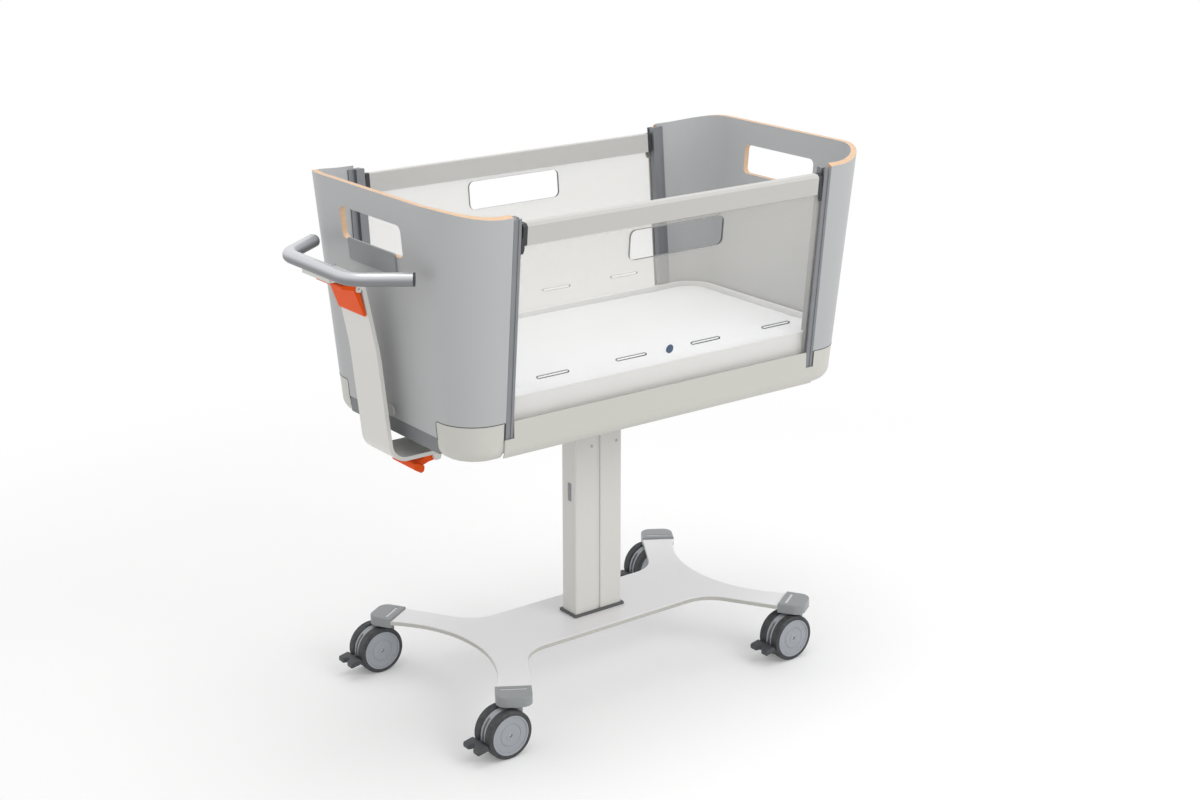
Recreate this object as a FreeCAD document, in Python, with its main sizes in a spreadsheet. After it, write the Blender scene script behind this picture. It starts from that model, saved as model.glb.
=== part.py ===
"""Hospital bassinet on a height-adjustable, tilting column stand.

+X runs along the crib away from the push handle, +Y to its back, +Z up.  The origin is on the floor
under the middle of the whole cot, handle included.  Front is -Y, left is the handle end (-X).
"""
import FreeCAD
import Part
import Sketcher
import os
import re
import math

Vector = FreeCAD.Vector
doc = FreeCAD.newDocument("Bassinet")
sheet = doc.addObject("Spreadsheet::Sheet", "Sizes")

# Driving dimensions in millimetres.  Lengths along X and depths along Y are from the column axis, and
# heights above the floor, unless the name says otherwise.
SIZES = {
    # castors
    "castor_x": 366, "castor_y": 238, "trail": 26.6,
    "wheel_radius": 50, "wheel_width": 19.5, "wheel_gap": 16, "tyre_thick": 9, "tyre_round": 4,
    "disc_rim": 3, "disc_recess": 2, "disc_draft": 1, "ring_set": 12, "ring_width": 4, "ring_depth": 1.2,
    "hub_radius": 9, "hub_rise": 1, "axle_radius": 4, "axle_set": 1,
    "fork_width": 15.2, "fork_play": 0.3, "fork_half": 15, "fork_low": 16, "fork_nose": 20,
    "fork_bend": 8, "fender_gap": 3, "fender_skirt": 10,
    "stem_radius": 5, "stem_seat": 24, "stem_play": 0.4, "stem_cover": 2,
    "collar_radius": 17, "collar_thick": 8, "collar_play": 2,
    "pedal_hinge_x": 64, "pedal_hinge_z": 44, "pedal_pin_radius": 2, "pedal_eye": 5, "pedal_gap": 2,
    "pedal_width": 52, "pedal_depth": 24, "pedal_neck": 6, "pedal_thick": 9, "pedal_play": 0.2,
    # base
    "deck_gap": 10, "deck_thick": 10, "deck_half_width": 93, "deck_waist": 300, "deck_fillet": 80,
    "arm_width": 72, "arm_angle": 58.1, "cap_inner": 29, "cap_length": 55, "cap_skirt": 6,
    "cap_rise": 4, "cap_corner": 22, "cap_edge": 2.5, "cap_slot_length": 52, "cap_slot_width": 6,
    "cap_slot_depth": 1.2,
    # column
    "column_length": 120, "column_width": 48, "column_wall": 5, "column_gap": 18, "column_corner": 4,
    "groove_width": 9, "groove_depth": 3, "gasket_lip": 4, "gasket_height": 6,
    "bush_end": 5, "bush_side": 4, "bush_height": 30, "bush_play": 0.1,
    "inner_wall": 3, "inner_bottom": 135,
    "spring_play": 1, "spring_bottom": 150, "spring_head": 20, "rod_radius": 5, "rod_play": 0.3,
    "rod_short": 30,
    # tilting head
    "pin_drop": 30, "head_lip": 2, "head_width": 84, "head_thick": 6, "cheek_thick": 6,
    "eye_height": 40, "tilt_pin_radius": 6, "pin_play": 0.05, "pin_end": 2, "eye_radius": 16,
    "tilt_angle": 12, "clamp_arm": 80, "clamp_radius": 5, "clamp_play": 0.3, "clamp_edge": 12,
    "quadrant_angle": 10, "swing_angle": 4.2, "lug_play": 1, "lug_root": 10, "lug_round": 8,
    # crib level and walls: all four walls lean outwards by the same slope
    "crib_z": 650, "wall_slope": 0.09, "ref_rise": 30,
    "corner_x": 400, "corner_y": 171, "corner_radius": 78, "end_thick": 12,
    "end_sink": 6, "end_rise": 440, "arch_set": 14, "arch_drop": 22,
    "grip_half": 108, "grip_drop": 50, "grip_tall": 62, "grip_corner": 22,
    "strip_tall": 32, "strip_inset": 1, "strip_gap": 0.5,
    "cover_rise": 28, "cover_tall": 76, "cover_bend": 30, "cover_wall": 3, "cover_run": 11,
    "cover_leg": 15, "cover_floor": 36, "cover_round": 6, "cover_gap": 0.6,
    # corner posts and sliding sides
    "post_set": 36, "post_width": 18, "post_lip": 6.5, "post_back": 16.5, "post_tail": 7.8,
    "post_sink": 4.4, "post_short": 24, "post_round": 1.5, "post_groove": 5, "post_groove_depth": 1.2,
    "slot_width": 6, "slot_depth": 8.5, "flange_length": 14, "flange_thick": 3, "tray_play": 2,
    "panel_inset": 6, "panel_thick": 5, "panel_bite": 6, "panel_foot": 12, "panel_seat": 17,
    "window_half": 113, "window_drop": 9, "window_tall": 58, "window_corner": 22,
    "vent_edge": 2, "vent_length": 72, "vent_width": 5, "vent_rise": 33,
    "rail_drop": 35, "rail_tall": 40, "rail_out": 6, "rail_in": 12, "rail_play": 3.5,
    "rail_bevel": 5, "rail_cap": 9.5, "latch_play": 0.3, "latch_width": 7.2, "latch_drop": 15,
    "latch_tall": 28, "latch_round": 3,
    # base rails under the sliding sides
    "base_rail_wall": 2.7, "base_rail_tall": 80, "base_rail_bend": 30, "base_rail_bite": 8,
    "base_rail_gap": 0.5, "foot_set": 9.5, "foot_gap": 0.6,
    # frame, tray and mattress
    "frame_tall": 32, "frame_inset": 22, "frame_corner": 48,
    "member": 15, "frame_end": 60, "frame_side": 21, "frame_spar": 24, "spar_y": 112,
    "cross_x": 150, "spine_y": 20,
    "tray_gap": 2.3, "tray_wall": 3, "tray_floor": 4, "tray_tall": 70, "tray_lip": 2.5,
    "tray_lip_height": 4,
    "mattress_gap": 0.5, "mattress_play": 0.3, "mattress_drop": 7, "mattress_edge": 10,
    # handle: lengths along X from the end wall's face at the reference height
    "bar_width": 100, "bar_thick": 8, "bar_end": 112, "bar_drop": 46, "bar_low_run": 28,
    "bar_mid_run": 51, "bar_mid_rise": 218, "bar_top_run": 82, "bar_rise": 372, "bar_tip_run": 148,
    "bend_low": 36, "bend_mid": 500, "bend_top": 14, "stand_length": 38, "stand_half": 35,
    "loop_run": 144, "loop_corner_y": 115, "loop_end_run": 52, "loop_end_y": 182,
    "loop_bend": 52, "loop_width": 28, "loop_height": 24, "loop_round": 11.5, "loop_wall": 2.5,
    "plug_length": 3, "pad_half": 84, "pad_rise": 24, "pad_tall": 43, "pad_thick": 4, "pad_round": 5,
    "button_radius": 13.5, "button_rise": 8, "button_thick": 4,
    # release handles
    "trigger_half": 46, "trigger_pin_radius": 2.5, "trigger_run": 88, "trigger_drop": 24,
    "trigger_tall": 55, "trigger_tip_run": 122, "trigger_thick": 5, "trigger_play": 1.5,
    "ear_thick": 3.5, "ear_size": 6,
    "lever_half": 40, "lever_neck": 28, "lever_set": 81, "lever_drop": 16, "lever_pin_radius": 3,
    "lever_eye": 7, "lever_tip_set": 26, "lever_tall": 24, "lever_thick": 10, "lever_ear": 6,
    "lever_play": 0.5,
}

# Places and lengths that follow from the driving ones.
DERIVED = {
    # castors
    "disc_radius": "wheel_radius - tyre_thick",
    "fender_radius": "wheel_radius - fender_gap",
    "deck_bottom": "2 * wheel_radius + deck_gap",
    "fork_top": "deck_bottom - collar_thick - fork_play",
    # column
    "inner_length": "column_length - 2 * column_wall - 2 * bush_end",
    "inner_width": "column_width - 2 * column_wall - 2 * bush_side",
    "spring_radius": "inner_width / 2 - inner_wall - spring_play",
    "head_length": "inner_length + 2 * head_lip",
    # heights of the crib and what carries it
    "ref_z": "crib_z + ref_rise",
    "frame_top": "crib_z",
    "frame_bottom": "crib_z - frame_tall",
    "tilt_z": "frame_bottom - pin_drop",
    "inner_top": "tilt_z - eye_height",
    "column_top": "inner_top - column_gap",
    "rod_top": "column_top - rod_short",
    "end_bottom": "crib_z - end_sink",
    "end_top": "crib_z + end_rise",
    "strip_bottom": "end_bottom - strip_tall",
    "grip_top": "end_top - grip_drop",
    "grip_bottom": "grip_top - grip_tall",
    "cover_top": "crib_z + cover_rise",
    "cover_bottom": "cover_top - cover_tall",
    "end_shoulder": "cover_top + cover_gap",
    "post_bottom": "crib_z - post_sink",
    "post_top": "end_top - post_short",
    "rail_top": "end_top - rail_drop",
    "rail_bottom": "rail_top - rail_tall",
    "panel_top": "rail_top - panel_seat",
    "panel_bottom": "crib_z + panel_foot",
    "window_top": "rail_bottom - window_drop",
    "window_bottom": "window_top - window_tall",
    "latch_bottom": "rail_bottom - latch_drop",
    "latch_top": "latch_bottom + latch_tall",
    "tray_top": "crib_z + tray_tall",
    "vent_z": "tray_top + vent_rise",
    "mattress_top": "tray_top - mattress_drop",
    "base_rail_low": "cover_top - base_rail_tall",
    "button_z": "crib_z + button_rise",
    "bar_z": "frame_bottom - bar_drop",
    "bar_mid_z": "bar_z + bar_mid_rise",
    "bar_top_z": "bar_z + bar_rise",
    "loop_z": "bar_top_z + (bar_thick + loop_height) / 2",
    "pad_top": "loop_z + pad_rise",
    "pad_bottom": "pad_top - pad_tall",
    "trigger_z": "bar_top_z - trigger_drop",
    "trigger_low": "trigger_z - trigger_tall",
    "lever_z": "bar_z - lever_drop",
    "lever_low": "lever_z - lever_tall",
    # lengths and depths of the crib
    "end_x": "corner_x + corner_radius",
    "side_y": "corner_y + corner_radius",
    "panel_y": "side_y - panel_inset",
    "base_rail_slot": "side_y - base_rail_bite",
    "frame_half_width": "panel_y - frame_inset",
    "tray_round": "corner_radius + wall_slope * (frame_top - ref_z) - end_thick - tray_gap",
    "tray_half_x": "corner_x + tray_round",
    "tray_half_y": "corner_y + tray_round",
    "arch_start": "corner_y + arch_set",
    "cover_edge": "corner_y - cover_run",
    "post_in": "corner_x - post_set",
    "post_out": "post_in + post_width",
    "panel_half": "post_in + panel_bite",
    "vent_x": "(panel_half - vent_edge) / 4",
    "rail_half": "post_in - rail_play - rail_cap",
    "latch_out": "post_in - latch_play",
    "latch_in": "latch_out - latch_width",
    "foot_in": "post_in + foot_set",
    "bar_low_x": "end_x + bar_low_run",
    "bar_mid_x": "end_x + bar_mid_run",
    "bar_top_x": "end_x + bar_top_run",
    "bar_tip": "end_x + bar_tip_run",
    "loop_x": "end_x + loop_run",
    "loop_end_x": "end_x + loop_end_run",
    "trigger_x": "end_x + trigger_run",
    "trigger_tip": "end_x + trigger_tip_run",
    "lever_x": "end_x - lever_set",
    "lever_tip": "end_x - lever_tip_set",
}
for row, (alias, number) in enumerate(SIZES.items(), start=1):
    sheet.set("A%d" % row, alias)
    sheet.set("B%d" % row, str(number))
    sheet.setAlias("B%d" % row, alias)
doc.recompute()

parts = []


def bound(expression):
    """The expression over the sheet's cells: derived names written out, driving ones as their cell."""
    def cell(match):
        name = match[0]
        if name in DERIVED:
            return "(" + bound(DERIVED[name]) + ")"
        return "Sizes." + name if name in SIZES else name
    return re.sub(r"[a-z_]\w*", cell, str(expression))


def value(expression):
    """The number that an expression over the sheet gives."""
    result = sheet.evalExpression(bound(expression))
    return float(getattr(result, "Value", result))


# Places that several pieces share.
LEAN = "atan(wall_slope)"
COLUMN_X = "((loop_x + loop_width / 2) - (corner_x + corner_radius + wall_slope * (end_top - ref_z))) / 2"
DECK_TOP = "(deck_bottom + deck_thick)"
CAP_TOP = "(deck_bottom + deck_thick + cap_rise)"
TOUCH = 0.01  # how near its place an edge's middle lies


def wall(z, inset="0"):
    """Distance of the end wall's face from its corner axis at height z, less an inset."""
    return "(corner_radius + wall_slope * ((%s) - ref_z) - (%s))" % (z, inset)


def up_wall(z):
    """Height z measured along a leaning wall from the reference height."""
    return "(((%s) - ref_z) / cos(%s))" % (z, LEAN)


def new_body(label, x="0", y="0", z="0", kept=True):
    """A body whose place is measured from the column axis at floor level."""
    item = doc.addObject("PartDesign::Body", "Body_" + label)
    item.Label = label
    item.AllowCompound = True
    item.setExpression("Placement.Base.x", bound("%s + (%s)" % (COLUMN_X, x)))
    item.setExpression("Placement.Base.y", bound(y))
    item.setExpression("Placement.Base.z", bound(z))
    if kept:
        parts.append(item)
    return item


def turn(item, axis, angle):
    """Turn a body about an axis through its own origin."""
    item.Placement.Rotation = FreeCAD.Rotation(axis, 1)
    item.setExpression("Placement.Rotation.Angle", bound(angle))


def datum(body, role):
    return [f for f in body.Origin.OriginFeatures if f.Role == role][0]


def new_sketch(body, role, offset="0"):
    """A sketch on one of the body's own origin planes, moved along the plane's normal."""
    item = body.newObject("Sketcher::SketchObject", "Sketch_%s_%d" % (body.Label, len(body.Group)))
    item.AttachmentSupport = (datum(body, role), [""])
    item.MapMode = "FlatFace"
    item.setExpression("AttachmentOffset.Base.z", bound(offset))
    return item


def limit(item, kind, *args):
    """Add a constraint whose value, when it has one, is the expression given last."""
    *where, expression = args
    index = item.addConstraint(Sketcher.Constraint(kind, *where, value(expression)))
    item.setExpression("Constraints[%d]" % index, bound(expression))


def pin(item, geometry, point, x, y):
    """Fix a point of the sketch at x, y."""
    for kind, place in (("DistanceX", x), ("DistanceY", y)):
        limit(item, kind, -1, 1, geometry, point, place)


def mark(item, x, y):
    """A construction point at x, y."""
    point = item.addGeometry(Part.Point(Vector(value(x), value(y), 0)), True)
    pin(item, point, 1, x, y)
    return point


def outline(item, corners, closed=True):
    """Straight edges from corner to corner, each (x, y) or (x, y, radius) for a rounded one.

    A corner (x, y, (via_x, via_y)) is sharp, and the edge that leaves it is an arc through via.
    """
    count = len(corners)
    spots = [Vector(value(c[0]), value(c[1]), 0) for c in corners]
    extra = [c[2] if len(c) > 2 else None for c in corners]
    arcs = {}
    entry, leave = list(spots), list(spots)
    for i, rule in enumerate(extra):
        if rule is None or isinstance(rule, tuple):
            continue
        back = (spots[i - 1] - spots[i]).normalize()
        ahead = (spots[(i + 1) % count] - spots[i]).normalize()
        half = back.getAngle(ahead) / 2
        radius = value(rule)
        entry[i] = spots[i] + back * (radius / math.tan(half))
        leave[i] = spots[i] + ahead * (radius / math.tan(half))
        centre = spots[i] + (back + ahead).normalize() * (radius / math.sin(half))
        left_turn = back.cross(ahead).z < 0
        first, last = (entry[i], leave[i]) if left_turn else (leave[i], entry[i])
        start = math.atan2(first.y - centre.y, first.x - centre.x)
        end = math.atan2(last.y - centre.y, last.x - centre.x)
        circle = Part.Circle(centre, Vector(0, 0, 1), radius)
        arcs[i] = (item.addGeometry(Part.ArcOfCircle(circle, start, end)), left_turn)
    edges = []
    for i in range(count if closed else count - 1):
        j = (i + 1) % count
        if isinstance(extra[i], tuple):
            via = Vector(value(extra[i][0]), value(extra[i][1]), 0)
            edge = item.addGeometry(Part.Arc(leave[i], via, entry[j]))
            flipped = (via - leave[i]).cross(entry[j] - leave[i]).z < 0
            point = mark(item, *extra[i])
            item.addConstraint(Sketcher.Constraint("PointOnObject", point, 1, edge))
        else:
            edge = item.addGeometry(Part.LineSegment(leave[i], entry[j]))
            flipped = False
        edges.append((edge, 2 if flipped else 1, 1 if flipped else 2))
    for i, corner in enumerate(corners):
        before = edges[i - 1] if closed or i > 0 else None
        after = edges[i] if closed or i < count - 1 else None
        if i not in arcs:
            if before and after:
                item.addConstraint(Sketcher.Constraint("Coincident", *before[::2], *after[:2]))
            edge = after or before[::2]
            pin(item, edge[0], edge[1], corner[0], corner[1])
            continue
        arc, left_turn = arcs[i]
        near, far = (1, 2) if left_turn else (2, 1)
        point = mark(item, corner[0], corner[1])
        item.addConstraint(Sketcher.Constraint("PointOnObject", point, 1, before[0]))
        item.addConstraint(Sketcher.Constraint("PointOnObject", point, 1, after[0]))
        item.addConstraint(Sketcher.Constraint("Tangent", before[0], before[2], arc, near))
        item.addConstraint(Sketcher.Constraint("Tangent", arc, far, after[0], after[1]))
        limit(item, "Radius", arc, extra[i])
    return item


def box_outline(item, x0, x1, y0, y1, radius=None):
    """A rectangle, with its corners rounded when a radius is given."""
    corners = [(x0, y0), (x1, y0), (x1, y1), (x0, y1)]
    if radius:
        corners = [corner + (radius,) for corner in corners]
    return outline(item, corners)


def circle(item, x, y, radius):
    ring = item.addGeometry(Part.Circle(Vector(value(x), value(y), 0), Vector(0, 0, 1), value(radius)))
    pin(item, ring, 3, x, y)
    limit(item, "Radius", ring, radius)
    return item


def extrude(kind, item, length, both, reverse):
    body = item.getParentGeoFeatureGroup()
    feature = body.newObject("PartDesign::" + kind, "%s_%s" % (kind, item.Name))
    feature.Profile = item
    feature.SideType = "Symmetric" if both else "One side"
    feature.Reversed = reverse
    feature.setExpression("Length", bound(length))
    body.Tip = feature
    return feature


def pad(item, length, both=False, reverse=False):
    return extrude("Pad", item, length, both, reverse)


def pocket(item, length, both=False, reverse=False):
    return extrude("Pocket", item, length, both, reverse)


def revolve(item, axis, angle="360", kind="Revolution", reverse=False):
    body = item.getParentGeoFeatureGroup()
    feature = body.newObject("PartDesign::" + kind, "%s_%s" % (kind, item.Name))
    feature.Profile = item
    feature.ReferenceAxis = axis
    feature.Reversed = reverse
    feature.setExpression("Angle", angle)
    body.Tip = feature
    return feature


def mirror_features(body, features, role):
    feature = body.newObject("PartDesign::Mirrored", "Mirrored_%s_%d" % (body.Label, len(body.Group)))
    feature.Originals = features
    feature.MirrorPlane = (datum(body, role), [""])
    body.Tip = feature
    return feature


def soften(body, kind, size, test):
    """Fillet or Chamfer the edges of the body's tip whose middle point and direction pass a test."""
    doc.recompute()
    names = []
    for number, edge in enumerate(body.Tip.Shape.Edges, start=1):
        middle = edge.valueAt((edge.FirstParameter + edge.LastParameter) / 2)
        along = edge.tangentAt((edge.FirstParameter + edge.LastParameter) / 2)
        if test(middle, along):
            names.append("Edge%d" % number)
    feature = body.newObject("PartDesign::" + kind, "%s_%s_%d" % (kind, body.Label, len(body.Group)))
    feature.Base = (body.Group[-2], names)
    feature.setExpression("Radius" if kind == "Fillet" else "Size", bound(size))
    body.Tip = feature
    return feature


def mirrored(source, label, axis, kept=True):
    """The other hand of a sub-part, across the column axis."""
    item = doc.addObject("Part::Mirroring", "Mirror_" + label)
    item.Label = label
    item.Source = source
    item.Normal = axis
    item.setExpression("Base.x", bound(COLUMN_X))
    if kept:
        parts.append(item)
    return item


def group(label, items):
    """Identical pieces that share one node."""
    item = doc.addObject("Part::Compound", "Group_" + label)
    item.Label = label
    item.Links = items
    parts.append(item)
    return item


LEFT_RIGHT = Vector(1, 0, 0)
FRONT_BACK = Vector(0, 1, 0)


# ---------------------------------------------------------------- base
def base_plate():
    """Flat deck with two concave ends and four arms that reach out to the castors."""
    body = new_body("base_plate")
    mid_x = "(castor_x - cap_inner * cos(arm_angle))"
    mid_y = "(castor_y - cap_inner * sin(arm_angle))"
    out_x = "(%s + arm_width / 2 * sin(arm_angle))" % mid_x
    out_y = "(%s - arm_width / 2 * cos(arm_angle))" % mid_y
    in_x = "(%s - arm_width / 2 * sin(arm_angle))" % mid_x
    in_y = "(%s + arm_width / 2 * cos(arm_angle))" % mid_y
    root_x = "(%s - (%s - deck_half_width) / tan(arm_angle))" % (in_x, in_y)
    shape = [
        (out_x, "-" + out_y, ("deck_waist", "0")),
        (out_x, out_y),
        (in_x, in_y),
        (root_x, "deck_half_width", "deck_fillet"),
        ("-" + root_x, "deck_half_width", "deck_fillet"),
        ("-" + in_x, in_y),
        ("-" + out_x, out_y, ("-deck_waist", "0")),
        ("-" + out_x, "-" + out_y),
        ("-" + in_x, "-" + in_y),
        ("-" + root_x, "-deck_half_width", "deck_fillet"),
        (root_x, "-deck_half_width", "deck_fillet"),
        (in_x, "-" + in_y),
    ]
    pad(outline(new_sketch(body, "XY_Plane", "deck_bottom"), shape), "deck_thick")
    soften(body, "Fillet", "deck_thick * 0.25", lambda p, d: abs(d.z) < TOUCH)


def castor_caps():
    """Cast end pieces that close the arms and hold the castor stems."""
    body = new_body("castor_cap", "castor_x", "castor_y", kept=False)
    turn(body, Vector(0, 0, 1), "arm_angle")
    far = "(cap_length - cap_inner)"
    shape = [("-cap_inner", "-arm_width / 2"), (far, "-arm_width / 2", "cap_corner"),
             (far, "arm_width / 2", "cap_corner"), ("-cap_inner", "arm_width / 2")]
    bottom = "(deck_bottom - cap_skirt)"
    pad(outline(new_sketch(body, "XY_Plane", bottom), shape), "cap_skirt + deck_thick + cap_rise")
    top = value(CAP_TOP)
    soften(body, "Fillet", "cap_edge", lambda p, d: abs(p.z - top) < TOUCH)
    pocket(circle(new_sketch(body, "XY_Plane", bottom), "0", "0", "collar_radius + collar_play"), "cap_skirt",
           reverse=True)
    pocket(circle(new_sketch(body, "XY_Plane", "deck_bottom"), "0", "0", "stem_radius"),
           "deck_thick - stem_cover", reverse=True)
    slot_x = "(2 * cap_slot_width - cap_inner)"
    slot = box_outline(new_sketch(body, "XY_Plane", CAP_TOP), slot_x, slot_x + " + cap_slot_width",
                       "-cap_slot_length / 2", "cap_slot_length / 2")
    pocket(slot, "cap_slot_depth")
    right = mirrored(body, "castor_cap_right_front", FRONT_BACK, kept=False)
    left = [mirrored(item, "castor_cap_left_%d" % i, LEFT_RIGHT, kept=False)
            for i, item in enumerate((body, right))]
    group("castor_caps", [body, right] + left)


def castor_stems():
    """Steel stem and bearing collar under each cap, in one turned piece."""
    stems = []
    for i, (x, y) in enumerate((("", ""), ("", "-"), ("-", ""), ("-", "-"))):
        body = new_body("stem_%d" % i, x + "castor_x", y + "castor_y", kept=False)
        top = "(deck_bottom + deck_thick - stem_cover)"
        base = "(deck_bottom - collar_thick)"
        foot = "(wheel_radius + stem_seat)"
        shape = [("0", foot), ("stem_radius", foot), ("stem_radius", base),
                 ("collar_radius", base), ("collar_radius", "deck_bottom"), ("stem_radius", "deck_bottom"),
                 ("stem_radius", top), ("0", top)]
        revolve(outline(new_sketch(body, "XZ_Plane"), shape), (datum(body, "Z_Axis"), [""]))
        stems.append(body)
    group("castor_stems", stems)


def castor(name, x, y):
    """One twin-wheel castor: moulded fork, axle and pedal pin, two tyres, two discs and brake pedal."""
    fork = new_body("castor_fork_" + name, x, y)
    axle_x = "-trail"
    rear = "(-trail - fender_radius)"
    low = "(wheel_radius - fork_low)"
    shoulder = "(wheel_radius + sqrt(fender_radius ^ 2 - (trail - fork_half) ^ 2))"
    via = ("-trail - fender_radius * cos(45)", "wheel_radius + fender_radius * sin(45)")
    shape = [("fork_half", "fork_top"), ("-fork_half", "fork_top"), ("-fork_half", shoulder, via),
             (rear, "wheel_radius"), (rear, "wheel_radius - fender_skirt"),
             ("axle_radius - pedal_hinge_x", low), ("fork_low - trail", low),
             ("fork_half", "wheel_radius + fork_nose", "fork_bend")]
    pad(outline(new_sketch(fork, "XZ_Plane"), shape), "fork_width", both=True)
    pocket(circle(new_sketch(fork, "XZ_Plane"), axle_x, "wheel_radius", "axle_radius"), "fork_width * 2",
           both=True)
    pocket(circle(new_sketch(fork, "XZ_Plane"), "-pedal_hinge_x", "pedal_hinge_z", "pedal_pin_radius"),
           "fork_width * 2", both=True)
    slot = box_outline(new_sketch(fork, "XZ_Plane"), "-pedal_hinge_x * 2", "fork_bend - pedal_hinge_x", "0",
                       "wheel_radius * 3")
    pocket(slot, "pedal_neck + 2 * pedal_play", both=True)
    pocket(circle(new_sketch(fork, "XY_Plane", "fork_top"), "0", "0", "stem_radius + pin_play"),
           "fork_top - wheel_radius - stem_seat + stem_play")

    pins = new_body("castor_pins_" + name, x, y)
    pad(circle(new_sketch(pins, "XZ_Plane"), axle_x, "wheel_radius", "axle_radius"),
        "wheel_gap + 2 * (wheel_width - disc_recess - axle_set)", both=True)
    pad(circle(new_sketch(pins, "XZ_Plane"), "-pedal_hinge_x", "pedal_hinge_z", "pedal_pin_radius"),
        "fork_width", both=True)

    inner, outer = "wheel_gap / 2", "(wheel_gap / 2 + wheel_width)"
    tyres = new_body("castor_tyres_" + name, x + " - trail", y, "wheel_radius")
    shape = [("disc_radius", inner), ("wheel_radius", inner, "tyre_round"),
             ("wheel_radius", outer, "tyre_round"), ("disc_radius", outer)]
    tyre = revolve(outline(new_sketch(tyres, "XY_Plane"), shape), (datum(tyres, "Y_Axis"), [""]))
    mirror_features(tyres, [tyre], "XZ_Plane")

    discs = new_body("castor_discs_" + name, x + " - trail", y, "wheel_radius")
    bore = "(axle_radius + pin_play)"
    face = "(%s - disc_recess)" % outer
    step = "(disc_radius - disc_rim - disc_draft)"
    ring_out = "(%s - ring_set)" % step
    ring_in = "(%s - ring_width)" % ring_out
    groove = "(%s - ring_depth)" % face
    hub = "(%s + hub_rise)" % face
    shape = [(bore, inner), ("disc_radius", inner), ("disc_radius", outer),
             ("disc_radius - disc_rim", outer), (step, face), (ring_out, face),
             (ring_out + " - disc_draft", groove), (ring_in + " + disc_draft", groove), (ring_in, face),
             ("hub_radius + disc_draft", face), ("hub_radius", hub), (bore, hub)]
    disc = revolve(outline(new_sketch(discs, "XY_Plane"), shape), (datum(discs, "Y_Axis"), [""]))
    mirror_features(discs, [disc], "XZ_Plane")

    pedal = new_body("castor_pedal_" + name, "%s - pedal_hinge_x" % x, y, "pedal_hinge_z")
    lobe = "(pedal_hinge_x - wheel_radius - trail - pedal_gap)"
    tip = "(%s - pedal_depth)" % lobe
    into = lobe + " - pedal_gap"
    neck = [("pedal_eye", "-pedal_eye * 0.8", "pedal_eye * 0.4"),
            ("pedal_eye", "pedal_eye", "pedal_eye * 0.6"),
            ("-pedal_eye", "pedal_eye"), (lobe, "-pedal_thick / 4"), (into, "-pedal_thick / 4"),
            (into, "-pedal_thick * 1.2"), (lobe, "-pedal_thick"), ("-pedal_eye", "-pedal_eye * 0.8")]
    pad(outline(new_sketch(pedal, "XZ_Plane"), neck), "pedal_neck", both=True)
    soft = "pedal_thick * 0.2"
    plate = [(lobe, "-pedal_thick * 1.2"), (lobe, "-pedal_thick / 4", soft),
             (tip, "-pedal_thick * 0.6", soft), (tip, "-pedal_thick * 1.5", soft)]
    pad(outline(new_sketch(pedal, "XZ_Plane"), plate), "pedal_width", both=True)
    outside, heel = tip + " - pedal_gap", tip + " + pedal_depth * 0.4"
    notch = [(outside, "-pedal_neck * 1.6"), (heel, "-pedal_neck * 0.8"), (heel, "pedal_neck * 0.8"),
             (outside, "pedal_neck * 1.6")]
    pocket(outline(new_sketch(pedal, "XY_Plane"), notch), "pedal_thick * 3")
    pocket(circle(new_sketch(pedal, "XZ_Plane"), "0", "0", "pedal_pin_radius + pin_play"),
           "pedal_width", both=True)


# ---------------------------------------------------------------- column
def tube(body, length, width, wall, bottom, height, radius=None):
    """An upright rectangular tube."""
    pad(box_outline(new_sketch(body, "XY_Plane", bottom), "-%s / 2" % length, "%s / 2" % length,
                    "-%s / 2" % width, "%s / 2" % width, radius), height)
    pocket(box_outline(new_sketch(body, "XY_Plane", bottom), "%s - %s / 2" % (wall, length),
                       "%s / 2 - %s" % (length, wall), "%s - %s / 2" % (wall, width),
                       "%s / 2 - %s" % (width, wall)), height, reverse=True)


def column():
    """Fixed outer tube, sliding inner tube in two glide bushes, and the gas spring inside."""
    outer = new_body("column_outer_tube")
    tall = "(column_top - deck_bottom - deck_thick)"
    tube(outer, "column_length", "column_width", "column_wall", DECK_TOP, tall, "column_corner")
    pocket(box_outline(new_sketch(outer, "XY_Plane", DECK_TOP), "-groove_width / 2", "groove_width / 2",
                       "-column_width", "groove_depth - column_width / 2"), tall, reverse=True)

    gasket = new_body("column_gasket")
    tube(gasket, "(column_length + 2 * gasket_lip)", "(column_width + 2 * gasket_lip)", "gasket_lip",
         DECK_TOP, "gasket_height")

    upper = new_body("glide_bush_upper")
    cavity_x, cavity_y = "(column_length - 2 * column_wall)", "(column_width - 2 * column_wall)"
    frame_ring(upper, cavity_x, cavity_y, "(inner_length + 2 * bush_play)", "(inner_width + 2 * bush_play)",
               "column_top - bush_height", "bush_height")
    lower = new_body("glide_bush_lower")
    frame_ring(lower, "(%s - 2 * bush_play)" % cavity_x, "(%s - 2 * bush_play)" % cavity_y,
               "inner_length", "inner_width", "inner_bottom", "bush_height")

    inner = new_body("column_inner_tube")
    tube(inner, "inner_length", "inner_width", "inner_wall", "inner_bottom", "inner_top - inner_bottom")

    cylinder = new_body("gas_spring_cylinder")
    pad(circle(new_sketch(cylinder, "XY_Plane", "spring_bottom"), "0", "0", "spring_radius"),
        "inner_top - spring_bottom")
    pocket(circle(new_sketch(cylinder, "XY_Plane", "spring_bottom"), "0", "0", "rod_radius + rod_play"),
           "rod_top + spring_head - spring_bottom", reverse=True)
    rod = new_body("gas_spring_rod")
    pad(circle(new_sketch(rod, "XY_Plane", DECK_TOP), "0", "0", "rod_radius"), "rod_top - " + DECK_TOP)


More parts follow.
